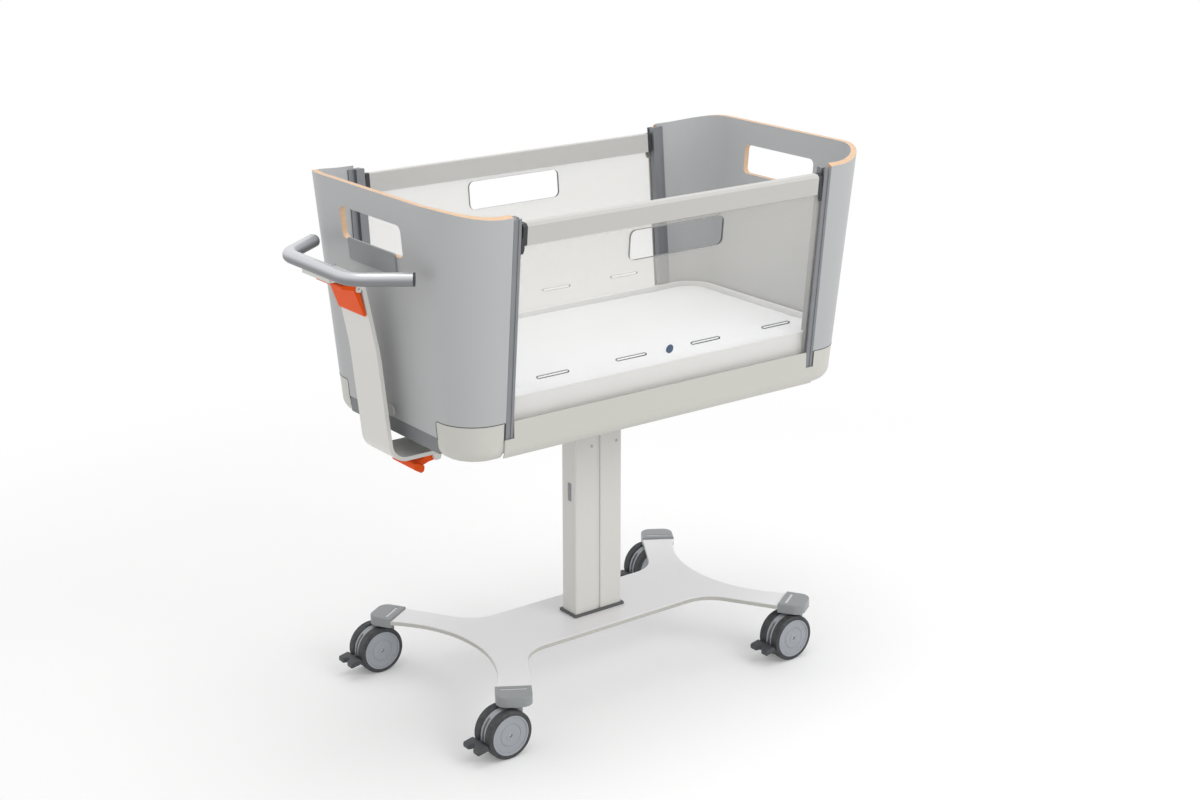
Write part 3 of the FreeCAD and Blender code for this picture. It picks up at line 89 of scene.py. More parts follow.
# ---------------------------------------------------------------- shader arithmetic
class Wire:
    """A shader socket that takes part in Python arithmetic, one Math node for each step."""

    def __init__(self, board, socket):
        self.board = board
        self.socket = socket

    def step(self, operation, *others, swap=False):
        """One Math node; swap puts this wire last."""
        values = [self, *others]
        if swap:
            values.reverse()
        return self.board.node("ShaderNodeMath", {"operation": operation}, *values)

    def __add__(self, other):
        return self.step("ADD", other)

    def __radd__(self, other):
        return self.step("ADD", other, swap=True)

    def __sub__(self, other):
        return self.step("SUBTRACT", other)

    def __rsub__(self, other):
        return self.step("SUBTRACT", other, swap=True)

    def __mul__(self, other):
        return self.step("MULTIPLY", other)

    def __rmul__(self, other):
        return self.step("MULTIPLY", other, swap=True)

    def __truediv__(self, other):
        return self.step("DIVIDE", other)

    def __rtruediv__(self, other):
        return self.step("DIVIDE", other, swap=True)

    def __pow__(self, other):
        return self.step("POWER", other)

    def __abs__(self):
        return self.step("ABSOLUTE")

    def sine(self):
        return self.step("SINE")

    def largest(self, other):
        return self.step("MAXIMUM", other)

    def smallest(self, other):
        return self.step("MINIMUM", other)

    def above(self, edge, blur):
        """0 below the edge, 1 above it, with a short ramp between."""
        return self.board.node("ShaderNodeMapRange", {"interpolation_type": "SMOOTHSTEP"},
                               self, edge - blur, edge + blur, 0.0, 1.0)

    def within(self, low, high, blur):
        """1 between two edges, 0 outside them."""
        return self.above(low, blur) * (1.0 - self.above(high, blur))

    def beside(self, output):
        """Another output of the same node."""
        return Wire(self.board, self.socket.node.outputs[output])


class Board:
    """The nodes of one material or of the surroundings."""

    def __init__(self, owner):
        owner.use_nodes = True
        self.nodes = owner.node_tree.nodes
        self.links = owner.node_tree.links

    def plug(self, socket, number):
        """Link a wire to a socket, or set the socket to a number or a colour."""
        if isinstance(number, Wire):
            self.links.new(number.socket, socket)
        elif socket.type == "RGBA":
            socket.default_value = (*number[:3], 1.0)
        else:
            socket.default_value = number

    def node(self, kind, settings, *inputs, output=0, **named):
        """Any node: its settings first, then its sockets in order or by name."""
        made = self.nodes.new(kind)
        for key, setting in settings.items():
            setattr(made, key, setting)
        for socket, number in zip(made.inputs, inputs):
            self.plug(socket, number)
        for key, number in named.items():
            found = [s for s in made.inputs if key in (s.identifier, s.name.replace(" ", "_"))]
            self.plug(found[0], number)
        if isinstance(output, str):
            output = [s.identifier for s in made.outputs].index(output)
        return Wire(self, made.outputs[output])

    def vector(self, operation, *inputs, output="Vector"):
        """One Vector Math node."""
        return self.node("ShaderNodeVectorMath", {"operation": operation}, *inputs, output=output)

    def blend(self, mask, low, high):
        """A colour that goes from low to high with the mask."""
        return self.node("ShaderNodeMix", {"data_type": "RGBA"}, output="Result_Color",
                         Factor_Float=mask, A_Color=low, B_Color=high)


class Finish(Board):
    """One procedural material, built round a Principled shader."""

    def __init__(self, name, colour, roughness, metallic=0.0, **fixed):
        self.material = bpy.data.materials.new(name)
        super().__init__(self.material)
        self.shader = self.nodes["Principled BSDF"]
        self.paint("Base Color", colour)
        self.paint("Roughness", roughness)
        self.paint("Metallic", metallic)
        for socket, number in fixed.items():
            self.paint(socket.replace("_", " "), number)
        self.place = self.node("ShaderNodeTexCoord", {}, output="Object")
        self.facing = self.place.beside("Normal")

    def paint(self, socket, number):
        """Give one of the shader's own sockets a value or a link."""
        self.plug(self.shader.inputs[socket], number)

    def axis(self, letter, source=None):
        """One coordinate of the place on the piece, as it lies at rest, or of another vector."""
        return self.node("ShaderNodeSeparateXYZ", {}, source or self.place, output=letter)

    def clouds(self, scale, detail=3.0, rough=0.5, stretch=(1.0, 1.0, 1.0)):
        """Soft noise from 0 to 1 over the piece, finer along an axis whose stretch is higher."""
        spot = self.vector("MULTIPLY", self.place, stretch)
        return self.node("ShaderNodeTexNoise", {}, output="Fac", Vector=spot, Scale=scale,
                         Detail=detail, Roughness=rough)

    def scratches(self, scale, share, stretch=(1.0, 1.0, 1.0)):
        """Thin hairlines, as cleaning and handling leave them, in patches: 0 to 1."""
        off_line = abs(self.clouds(scale, detail=2.0, stretch=stretch) - 0.5)
        patch = self.clouds(7.0, detail=2.0).above(1.0 - share, 0.08)
        return (1.0 - off_line.above(0.006, 0.004)) * patch

    def tone(self, colour, amount, scale=6.0):
        """Faint cloudy variation about a colour."""
        return self.blend(self.clouds(scale, detail=4.0), shade(colour, 1.0 - amount),
                          shade(colour, 1.0 + amount))

    def bump(self, height, depth):
        """Raise the surface by height times depth, in metres."""
        self.paint("Normal", self.node("ShaderNodeBump", {}, Strength=1.0, Distance=depth,
                                       Height=height))


# ---------------------------------------------------------------- finishes
def moulded_plastic(name, colour, roughness=0.42, **fixed):
    """Injection moulding: fine spark-eroded grain, faint clouding and rubbed patches."""
    finish = Finish(name, colour, roughness, **fixed)
    rubbed = finish.clouds(26.0, detail=4.0, rough=0.6).above(0.62, 0.1)
    finish.paint("Base Color", finish.blend(rubbed * 0.35, finish.tone(colour, 0.02),
                                            shade(colour, 1.06, 0.004)))
    finish.paint("Roughness", roughness - rubbed * 0.08 + finish.clouds(9.0) * 0.04)
    finish.bump(finish.clouds(900.0, detail=2.0), 0.05 * MM)
    return finish.material


def powder_coat(name, colour, roughness=0.38, scuffs=0.3, side=None):
    """Powder-coated metal: slight orange peel, scuffs in worn patches, and painted shade on the side
    faces when a side colour is given.
    """
    finish = Finish(name, colour, roughness)
    worn = finish.scratches(38.0, scuffs, (1.0, 1.0, 0.35))
    coat = finish.tone(colour, 0.015, 4.0)
    # A side colour is painted shade: faces that point neither up nor down take it
    if side:
        level = abs(finish.axis("Z", finish.facing)).above(0.6, 0.3)
        coat = finish.blend(level, side, coat)
    finish.paint("Base Color", finish.blend(worn * 0.5, coat, shade(colour, 0.86)))
    finish.paint("Roughness",
                 finish.clouds(5.0, detail=4.0) * 0.08 + worn * 0.15 + (roughness - 0.04))
    finish.bump(finish.clouds(420.0, detail=1.0) - worn * 0.5, 0.06 * MM)
    return finish.material


def laminate_over_plywood():
    """Grey laminate on both faces, with the beech plies showing on every cut edge."""
    skin, ply_pair, blur = 0.8 * MM, 1.7 * MM, 0.3 * MM
    finish = Finish("grey_laminate_on_plywood", LAMINATE, 0.45)
    out_x = (abs(finish.axis("X") - AXIS_X) - CORNER_X).largest(0.0)
    out_y = (abs(finish.axis("Y")) - CORNER_Y).largest(0.0)
    face = (finish.axis("Z") - WALL_REF_Z) * WALL_SLOPE + WALL_REF_RADIUS
    depth = face - (out_x ** 2.0 + out_y ** 2.0) ** 0.5
    edge = depth.within(skin, WALL_THICK - skin, blur)
    plies = (depth * (TURN / ply_pair)).sine() * 0.5 + 0.5
    grain = finish.clouds(60.0, detail=6.0, rough=0.6, stretch=(1.0, 1.0, 5.0))
    beech = finish.blend(plies * 0.45 + grain * 0.5, PLY_DARK, PLY_LIGHT)
    wiped = finish.scratches(30.0, 0.25, (1.0, 1.0, 3.0))
    finish.paint("Base Color", finish.blend(edge, finish.tone(LAMINATE, 0.02, 5.0), beech))
    finish.paint("Roughness",
                 finish.clouds(6.0, detail=4.0) * 0.06 + edge * 0.18 + wiped * 0.1 + 0.40)
    finish.bump(finish.clouds(1300.0, detail=2.0) + edge * plies * 0.8, 0.04 * MM)
    return finish.material


def anodised(name, colour, roughness, along, metallic=0.9):
    """Anodised aluminium with die lines along one direction."""
    finish = Finish(name, colour, roughness, metallic)
    stretch = tuple(0.02 if letter == along else 1.0 for letter in "XYZ")
    lines = finish.clouds(1500.0, detail=2.0, stretch=stretch)
    handled = finish.clouds(14.0, detail=4.0, rough=0.6).above(0.58, 0.12)
    finish.paint("Base Color", finish.blend(lines * 0.6 + handled * 0.3, shade(colour, 0.9),
                                            shade(colour, 1.08)))
    finish.paint("Roughness", lines * 0.1 - handled * 0.06 + (roughness - 0.02))
    finish.bump(lines, 0.03 * MM)
    return finish.material


def loop_with_painted_light():
    """Satin aluminium push loop: painted light along the top and painted shade underneath, set by
    which way each face points; a little smoother on top.
    """
    finish = Finish("satin_loop_aluminium", LOOP_PAINTED_LIGHT, 0.3, 0.55)
    lines = finish.clouds(1500.0, detail=2.0, stretch=(1.0, 0.02, 1.0))
    # Painted light on faces that point up, painted shade on faces that point down
    top = finish.axis("Z", finish.facing).above(0.3, 0.45)
    finish.paint("Base Color", finish.blend(top + lines * 0.12, LOOP_PAINTED_SHADE, LOOP_PAINTED_LIGHT))
    finish.paint("Roughness", lines * 0.1 + (0.42 - top * 0.14))
    finish.bump(lines, 0.03 * MM)
    return finish.material


def acrylic():
    """Cast acrylic: a pale veil, denser from about 840 mm up, dark on cut edges."""
    plain_veil, upper_veil, rim_veil = 0.13, 0.12, 0.75
    upper_veil_z, upper_veil_blur = 840 * MM, 120 * MM
    finish = Finish("clear_acrylic", ACRYLIC, 0.05, IOR=1.49)
    graze = finish.node("ShaderNodeLayerWeight", {}, Blend=0.35, output="Facing")
    rim = 1.0 - abs(finish.axis("Y", finish.facing)).above(0.9, 0.05)
    smears = finish.clouds(5.0, detail=5.0, rough=0.6, stretch=(1.0, 1.0, 2.5))
    wiped = finish.scratches(22.0, 0.3, (3.0, 1.0, 1.0))
    # A denser veil higher up
    handled = finish.axis("Z").above(upper_veil_z, upper_veil_blur)
    veil = (graze ** 3.0 * 0.35 + smears * 0.03 + (wiped * 0.05 + plain_veil)
            + handled * upper_veil)
    finish.paint("Base Color", finish.blend(rim, ACRYLIC, ACRYLIC_RIM))
    finish.paint("Alpha", (veil + rim * rim_veil).smallest(1.0))
    finish.paint("Roughness", smears * 0.05 + wiped * 0.2 + 0.03)
    return finish.material


def tyre_rubber():
    """Grey-black polyurethane tread, dusty in patches from the floor."""
    finish = Finish("tyre_rubber", TYRE, 0.6)
    dust = finish.clouds(70.0, detail=5.0, rough=0.65)
    finish.paint("Base Color", finish.blend(dust.above(0.52, 0.15) * 0.3, TYRE, TYRE_DUST))
    finish.paint("Roughness", dust * 0.2 + 0.5)
    finish.bump(finish.clouds(700.0), 0.05 * MM)
    return finish.material


def wheel_disc():
    """Pale grey moulded disc, a little scuffed."""
    finish = Finish("wheel_disc_grey", DISC, 0.4)
    scuffs = finish.scratches(55.0, 0.5)
    finish.paint("Base Color", finish.blend(scuffs * 0.6, finish.tone(DISC, 0.03, 40.0),
                                            shade(DISC, 0.7)))
    finish.paint("Roughness", finish.clouds(30.0, detail=4.0) * 0.12 + scuffs * 0.2 + 0.34)
    finish.bump(finish.clouds(1200.0) - scuffs * 0.5, 0.04 * MM)
    return finish.material


def cast_cap():
    """Grey coated casting with a pale stripe on the up-facing floor of its slot."""
    finish = Finish("grey_cap_coat", CAP, 0.4)
    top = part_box("castor_caps")[1].z
    slot = finish.axis("Z").within(top - 2 * MM, top - 0.7 * MM, 0.15 * MM)
    stripe = slot * finish.axis("Z", finish.facing).above(0.9, 0.05)
    peel = finish.clouds(380.0, detail=1.0)
    worn = finish.scratches(60.0, 0.4)
    coat = finish.blend(worn * 0.5, finish.tone(CAP, 0.03, 12.0), shade(CAP, 1.4))
    finish.paint("Base Color", finish.blend(stripe, coat, STRIPE))
    finish.paint("Roughness", peel * 0.08 + worn * 0.15 + 0.34)
    finish.bump(peel, 0.08 * MM)
    return finish.material


def sheet_cotton():
    """White woven sheet: crossed threads, slightly softer where it has been lain on."""
    finish = Finish("white_cotton_sheet", COTTON, 0.85, Sheen_Weight=0.05, Specular_IOR_Level=0.25)
    pitch = TURN / (1.1 * MM)
    weave = (finish.axis("X") * pitch).sine() * (finish.axis("Y") * pitch).sine()
    finish.paint("Base Color", finish.tone(COTTON, 0.012, 7.0))
    finish.paint("Roughness", finish.clouds(9.0, detail=4.0) * 0.12 + 0.78)
    finish.bump(weave * 0.4 + finish.clouds(260.0) * 0.6, 0.05 * MM)
    return finish.material


def bright_steel():
    """Zinc-plated screw and pin steel, a little dull in patches."""
    finish = Finish("bright_steel", STEEL, 0.28, 1.0)
    dull = finish.clouds(400.0, detail=4.0)
    finish.paint("Base Color", finish.blend(dull, STEEL_DARK, STEEL_LIGHT))
    finish.paint("Roughness", dull * 0.15 + 0.2)
    finish.bump(dull, 0.02 * MM)
    return finish.material


FINISHES = {
    "laminate": laminate_over_plywood(),
    "acrylic": acrylic(),
    "post": anodised("dark_anodised_post", srgb(135, 137, 141), 0.42, "Z", 0.4),
    "rail": powder_coat("cream_rail_coat", srgb(191, 190, 187), 0.34, 0.2),
    "cream": moulded_plastic("cream_moulding", srgb(203, 202, 195)),
    "base_rail": powder_coat("cream_base_rail_coat", srgb(200, 199, 192), 0.36, 0.25),
    "column": powder_coat("cream_column_coat", srgb(221, 220, 215), 0.38, 0.25),
    "arm": powder_coat("cream_arm_coat", srgb(220, 219, 214), 0.32),
    "strip": moulded_plastic("grey_strip", srgb(122, 125, 127), 0.5),
    "tray": moulded_plastic("tray_white", srgb(246, 246, 246), 0.35),
    # The deck's last colour is painted shade on its side faces
    "deck": powder_coat("white_deck_coat", srgb(246, 245, 246), 0.33, 0.4, srgb(196, 195, 188)),
    "cap": cast_cap(),
    "fork": moulded_plastic("grey_fork", srgb(166, 169, 174), 0.4),
    "pedal": moulded_plastic("black_pedal", srgb(66, 68, 72), 0.45),
    "black": moulded_plastic("black_moulding", srgb(46, 47, 50), 0.42),
    "tyre": tyre_rubber(),
    "disc": wheel_disc(),
    "loop": loop_with_painted_light(),
    "pad": moulded_plastic("grey_pad", srgb(146, 149, 152), 0.5),
    "button": moulded_plastic("pale_button", srgb(196, 197, 195), 0.4),
    "orange": moulded_plastic("orange_release", srgb(234, 84, 4), 0.5, Specular_IOR_Level=0.2),
    "steel": bright_steel(),
    "dark_steel": powder_coat("dark_frame_coat", srgb(96, 98, 101), 0.5),
    "inner": anodised("inner_tube_aluminium", srgb(196, 197, 200), 0.3, "Z"),
    "bush": moulded_plastic("white_bush", srgb(232, 231, 226), 0.4),
    "gasket": moulded_plastic("dark_gasket", srgb(96, 97, 98), 0.6),
    # Painted shadow for the gaps round the corner covers
    "seal": moulded_plastic("dark_seal", srgb(74, 77, 80), 0.55),
    "badge": moulded_plastic("slate_blank", srgb(66, 86, 112), 0.35),
    "cotton": sheet_cotton(),
}

# The CAD pieces that each finish goes on, by the start of their names.
NODE_FINISHES = {
    "laminate": ("end_panel",),
    "acrylic": ("clear_side",),
    "post": ("corner_post",),
    "rail": ("top_rail",),
    "cream": ("corner_covers",),
    "base_rail": ("base_rail",),
    "column": ("column_outer_tube",),
    "arm": ("handle_arm",),
    "strip": ("end_strips",),
    "tray": ("tray",),
    "deck": ("base_plate",),
    "cap": ("castor_caps",),
    "fork": ("castor_fork",),
    "pedal": ("castor_pedal", "castor_stems"),
    "black": ("rail_ends", "loop_plugs"),
    "tyre": ("castor_tyres",),
    "disc": ("castor_discs",),
    "loop": ("push_loop",),
    "pad": ("end_pad",),
    "button": ("end_buttons",),
    "orange": ("height_trigger", "tilt_lever"),
    "steel": ("castor_pins", "tilt_pin", "clamp_bolt", "gas_spring_rod", "release_pins"),
    "dark_steel": ("tilt_head", "crib_frame", "gas_spring_cylinder"),
    "inner": ("column_inner_tube",),
    "bush": ("glide_bush",),
    "gasket": ("column_gasket",),
    "cotton": ("mattress",),
}


def dress_nodes():
    """Give every CAD node its finish."""
    for finish, starts in NODE_FINISHES.items():
        for name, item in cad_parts.items():
            if name.startswith(starts):
                for slot in item.material_slots:
                    slot.material = FINISHES[finish]


# ---------------------------------------------------------------- ways to build a piece
def put_in_scene(name, data):
    """A new object in the scene, at the bassinet's own origin."""
    item = bpy.data.objects.new(name, data)
    bpy.context.scene.collection.objects.link(item)
    return item


def shade_smooth(mesh):
    """Smooth shading on every face."""
    for face in mesh.polygons:
        face.use_smooth = True


def new_piece(name, build, finish, body):
    """A finished mesh in the bassinet's own frame, on its body."""
    mesh = bpy.data.meshes.new(name)
    bmesh.ops.recalc_face_normals(build, faces=build.faces)
    build.to_mesh(mesh)
    build.free()
    shade_smooth(mesh)
    item = put_in_scene(name, mesh)
    mesh.materials.append(FINISHES[finish])
    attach(item, body)
    return item


def skin_rings(build, rings):
    """A closed skin over rings of points: faces from each ring to the next, a cap at each end."""
    for lower, upper in zip(rings, rings[1:]):
        count = len(lower)
        for i in range(count):
            build.faces.new((lower[i], lower[(i + 1) % count], upper[(i + 1) % count], upper[i]))
    build.faces.new(list(reversed(rings[0])))
    build.faces.new(rings[-1])


def set_on(build, place, out):
    """Move a form that stands on the XY plane to a place on a surface, facing along out."""
    turn = Vector(out).to_track_quat("Z", "Y").to_matrix().to_4x4()
    build.transform(Matrix.Translation(place) @ turn)


def rounded_plan(half_x, half_y, corner, steps):
    """Points round a rectangle with rounded corners, each with its outward direction."""
    points = []
    for index, (sx, sy) in enumerate(((1, 1), (-1, 1), (-1, -1), (1, -1))):
        centre = Vector((sx * (half_x - corner), sy * (half_y - corner), 0))
        for step in range(steps + 1):
            angle = TURN / 4 * (index + step / steps)
            out = Vector((math.cos(angle), math.sin(angle), 0))
            points.append((centre + out * corner, out))
    return points


# ---------------------------------------------------------------- mattress
MATTRESS_LOW, MATTRESS_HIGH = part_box("mattress")
MATTRESS_MIDDLE = (MATTRESS_LOW + MATTRESS_HIGH) / 2
MATTRESS_HALF_X = (MATTRESS_HIGH.x - MATTRESS_LOW.x) / 2
MATTRESS_HALF_Y = (MATTRESS_HIGH.y - MATTRESS_LOW.y) / 2
MATTRESS_CORNER = 57.5 * MM
MATTRESS_LOFT = 5 * MM  # how far the foam stands up past its CAD block, level with the tray's lip
MATTRESS_CROWN = 4 * MM  # how much higher its middle is than its edge
MATTRESS_EDGE = 11 * MM  # the rounding of its upper edge
MATTRESS_SLACK = 2.5 * MM  # how much smaller it is all round before it swells
MATTRESS_SWELL = 5 * MM  # the most that any point of it travels then
MATTRESS_CELL = 6 * MM


def mattress_shell():
    """The foam's closed form before it swells: upright sides, soft upper edge, low crown."""
    shoulder = MATTRESS_HIGH.z - MATTRESS_LOW.z + MATTRESS_LOFT - MATTRESS_CROWN
    foot = Vector((MATTRESS_MIDDLE.x, MATTRESS_MIDDLE.y, MATTRESS_LOW.z))
    plan = rounded_plan(MATTRESS_HALF_X - MATTRESS_SLACK, MATTRESS_HALF_Y - MATTRESS_SLACK,
                        MATTRESS_CORNER - MATTRESS_SLACK, 12)
    levels = [(5 * MM, 0.0), (0.0, 6 * MM)]
    for step in range(9):
        angle = TURN / 4 * step / 8
        levels.append((MATTRESS_EDGE * (1 - math.cos(angle)),
                       shoulder - MATTRESS_EDGE * (1 - math.sin(angle))))
    build = bmesh.new()
    rings = [[build.verts.new(foot + point - out * inset + Vector((0, 0, up)))
              for point, out in plan] for inset, up in levels]
    for shrink in (0.92, 0.8, 0.65, 0.45, 0.22):
        up = Vector((0, 0, shoulder + MATTRESS_CROWN * (1 - shrink ** 2)))
        rings.append([build.verts.new(foot + (point - out * MATTRESS_EDGE) * shrink + up)
                      for point, out in plan])
    skin_rings(build, rings)
    return build


def swell(item):
    """Foam pressing its sheet outwards: cloth under pressure, each point's travel capped."""
    scene = bpy.context.scene
    last_frame = 20
    start = [vertex.co.copy() for vertex in item.data.vertices]
    cloth = item.modifiers.new("foam_pressure", "CLOTH")
    cloth.settings.use_pressure = True
    cloth.settings.uniform_pressure_force = 4.0
    cloth.settings.effector_weights.gravity = 0.0
    cloth.settings.quality = 5
    cloth.point_cache.frame_end = last_frame
    for number in range(1, last_frame + 1):
        scene.frame_set(number)
    swollen = item.evaluated_get(bpy.context.evaluated_depsgraph_get()).data
    ends = [vertex.co.copy() for vertex in swollen.vertices]
    item.modifiers.remove(cloth)
    for vertex, before, after in zip(item.data.vertices, start, ends):
        travel = after - before
        if travel.length > MATTRESS_SWELL:
            travel = travel.normalized() * MATTRESS_SWELL
        vertex.co = before + travel
    scene.frame_set(1)


def crease(spot):
    """Height of the sheet's folds: pulled pleats at the corners, long soft waves between."""
    pleat_reach, pleats_per_radian = 120 * MM, 22
    x, y = spot.x - MATTRESS_MIDDLE.x, spot.y - MATTRESS_MIDDLE.y
    corner = Vector((abs(x) - MATTRESS_HALF_X + MATTRESS_CORNER,
                     abs(y) - MATTRESS_HALF_Y + MATTRESS_CORNER))
    near = max(0.0, 1.0 - corner.length / pleat_reach)
    fan = math.atan2(corner.y, corner.x) * pleats_per_radian + 3 * noise.noise(spot * 20)
    pleats = math.sin(fan) * near ** 1.5
    long_wave = noise.noise(Vector((x * 5, y * 9, 3.1)))
    short_wave = noise.noise(Vector((x * 16, y * 11, 7.7)))
    return (pleats * 0.9 + (long_wave * 0.9 + short_wave * 0.35)) * MM


def inside_tray(spot):
    """Push a point of the mattress back inside the space that the tray leaves it."""
    flat_x, flat_y = MATTRESS_HALF_X - MATTRESS_CORNER, MATTRESS_HALF_Y - MATTRESS_CORNER
    highest = MATTRESS_HIGH.z + MATTRESS_LOFT + MATTRESS_CROWN
    across = Vector((spot.x - MATTRESS_MIDDLE.x, spot.y - MATTRESS_MIDDLE.y))
    core = Vector((max(-flat_x, min(flat_x, across.x)), max(-flat_y, min(flat_y, across.y))))
    out = across - core
    if out.length > MATTRESS_CORNER:
        out = out.normalized() * MATTRESS_CORNER
    return Vector((MATTRESS_MIDDLE.x + core.x + out.x, MATTRESS_MIDDLE.y + core.y + out.y,
                   max(MATTRESS_LOW.z, min(highest, spot.z))))


def mattress():
    """Foam mattress in a fitted sheet: crowned top, soft edges and gentle folds."""
    item = new_piece("mattress_sheet", mattress_shell(), "cotton", "crib")
    remesh = item.modifiers.new("even_cells", "REMESH")
    remesh.mode = "VOXEL"
    remesh.voxel_size = MATTRESS_CELL
    depsgraph = bpy.context.evaluated_depsgraph_get()
    even = bpy.data.meshes.new_from_object(item.evaluated_get(depsgraph))
    item.modifiers.remove(remesh)
    item.data = even
    swell(item)
    folds_from = MATTRESS_LOW.z + 12 * MM
    for vertex in even.vertices:
        raised = vertex.co.copy()
        if raised.z > folds_from:
            raised.z += crease(raised)
        vertex.co = inside_tray(raised)
    shade_smooth(even)
    soft = item.modifiers.new("soft_sheet", "SUBSURF")
    soft.levels = soft.render_levels = 1
    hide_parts("mattress")


# ---------------------------------------------------------------- screws and blank plates
COLUMN_SCREWS_X, COLUMN_SCREWS_Z, COLUMN_SCREW_RADIUS = (-17.5 * MM, 46 * MM), 492 * MM, 3.2 * MM
HANDLE_SCREWS_X, HANDLE_SCREWS_Y, HANDLE_SCREW_RADIUS = 566 * MM, (-38 * MM, 38 * MM), 4 * MM
BLANK_DISC_Z, BLANK_DISC_RADIUS = 753 * MM, 9 * MM
BLANK_PLATE_Y, BLANK_PLATE_Z, BLANK_PLATE_CORNER = -4 * MM, 396 * MM, 2 * MM
BLANK_PLATE_HALF_WIDE, BLANK_PLATE_HALF_TALL = 6 * MM, 20 * MM


def pan_head_screw(name, place, out, radius, body):
    """Low domed screw head with a hexagon socket, facing along out."""
    sides = 24
    socket_across, socket_top, socket_floor = 0.42, 0.5, 0.2
    build = bmesh.new()
    rings = []
    for across, up in ((1.0, 0.0), (1.0, 0.25), (0.93, 0.42), (0.75, 0.5), (0.5, 0.5)):
        rings.append([build.verts.new((across * radius * math.cos(TURN * i / sides),
                                       across * radius * math.sin(TURN * i / sides),
                                       up * radius))
                      for i in range(sides)])
    for up in (socket_top, socket_floor):
        ring = []
        for i in range(sides):
            angle = TURN * i / sides
            hexagon = socket_across / math.cos((angle % (TURN / 6)) - TURN / 12)
            ring.append(build.verts.new((hexagon * radius * math.cos(angle),
                                         hexagon * radius * math.sin(angle), up * radius)))
        rings.append(ring)
    skin_rings(build, rings)
    set_on(build, place, out)
    return new_piece(name, build, "steel", body)


def screws():
    """Column and handle screws that are in plain view."""
    for index, across in enumerate(COLUMN_SCREWS_X):
        pan_head_screw("column_screw_%d" % index,
                       (AXIS_X + across, COLUMN_LOW.y, COLUMN_SCREWS_Z), (0, -1, 0),
                       COLUMN_SCREW_RADIUS, "base")
    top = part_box("handle_arm")[1].z
    for index, side in enumerate(HANDLE_SCREWS_Y):
        pan_head_screw("handle_screw_%d" % index, (AXIS_X - HANDLE_SCREWS_X, side, top),
                       (0, 0, 1), HANDLE_SCREW_RADIUS, "crib")


def blank_plate(name, place, out, half_wide, half_tall, corner, finish, body):
    """A thin plate with nothing on it, its back on the surface that it sits on."""
    build = bmesh.new()
    rings = []
    for inset, up in ((0.0, 0.0), (0.0, 0.4 * MM), (0.3 * MM, 0.6 * MM)):
        plan = rounded_plan(half_wide - inset, half_tall - inset, corner - inset, 8)
        rings.append([build.verts.new(point + Vector((0, 0, up))) for point, _ in plan])
    skin_rings(build, rings)
    bmesh.ops.remove_doubles(build, verts=build.verts, dist=0.01 * MM)
    set_on(build, place, out)
    return new_piece(name, build, finish, body)


def plates():
    """Blank places: a disc on the front pane and a narrow plate on the column's left side."""
    pane_low, pane_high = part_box("clear_side_front")
    pane_y = pane_low.y + (pane_high.z - BLANK_DISC_Z) * WALL_SLOPE
    blank_plate("blank_disc", (AXIS_X, pane_y, BLANK_DISC_Z),
                (0, -math.cos(WALL_LEAN), -math.sin(WALL_LEAN)),
                BLANK_DISC_RADIUS, BLANK_DISC_RADIUS, BLANK_DISC_RADIUS - 0.01 * MM,
                "badge", "side_front")
    blank_plate("blank_column_plate", (COLUMN_LOW.x, BLANK_PLATE_Y, BLANK_PLATE_Z), (-1, 0, 0),
                BLANK_PLATE_HALF_WIDE, BLANK_PLATE_HALF_TALL, BLANK_PLATE_CORNER,
                "pad", "base")


# ---------------------------------------------------------------- hand openings
CUT_CORNER, SAWN_CORNER = 22 * MM, 12 * MM
PANE_OPENING_UP = 298.2 * MM  # along the leaning pane, from the reference height to the middle
PANE_OPENING_HALF_X, PANE_OPENING_HALF_UP = 113 * MM, 29.12 * MM
WALL_OPENING_Z, WALL_OPENING_HALF_Y, WALL_OPENING_HALF_Z = 1009 * MM, 108 * MM, 31 * MM


def tight_opening(node, name, finish, body, across, up, lift, spans):
    """A copy of a CAD piece whose rounded opening has tighter corners, as sawn ones have.

    across and up read a point's place over the opening, lift is the move for one step up, and
    spans holds the opening's middle and half size along each. Only the points on its corner
    arcs move, along the same face.
    """
    near = MM / 4
    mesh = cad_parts[node].data.copy()
    mesh.name = name
    (mid_a, half_a), (mid_b, half_b) = spans
    for vertex in mesh.vertices:
        a, b = vertex.co.dot(across) - mid_a, vertex.co.dot(up) - mid_b
        if abs(a) > half_a + near or abs(b) > half_b + near:
            continue
        out = Vector((abs(a) - half_a + CUT_CORNER, abs(b) - half_b + CUT_CORNER))
        if min(out) < -near or abs(out.length - CUT_CORNER) > near:
            continue
        move = (out.normalized() - Vector((1, 1))) * (SAWN_CORNER - CUT_CORNER)
        vertex.co += across * math.copysign(move.x, a) + lift * math.copysign(move.y, b)
    item = put_in_scene(name, mesh)
    for index in range(len(mesh.materials)):
        mesh.materials[index] = FINISHES[finish]
    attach(item, body)
    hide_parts(node)


def openings():
    """The hand openings of the clear sides and the end walls."""
    for name, way in (("front", -1), ("back", 1)):
        up = Vector((0, way * math.sin(WALL_LEAN), math.cos(WALL_LEAN)))
        middle = Vector((0, way * PANE_REF_Y, WALL_REF_Z)).dot(up) + PANE_OPENING_UP
        tight_opening("clear_side_" + name, "pane_" + name, "acrylic", "side_" + name,
                      Vector((1, 0, 0)), up, up,
                      ((AXIS_X, PANE_OPENING_HALF_X), (middle, PANE_OPENING_HALF_UP)))
    for name, way in (("left", -1), ("right", 1)):
        tight_opening("end_panel_" + name, "end_wall_" + name, "laminate", "crib",
                      Vector((0, 1, 0)), Vector((0, 0, 1)),
                      Vector((way * WALL_SLOPE, 0, 1)),
                      ((0, WALL_OPENING_HALF_Y), (WALL_OPENING_Z, WALL_OPENING_HALF_Z)))


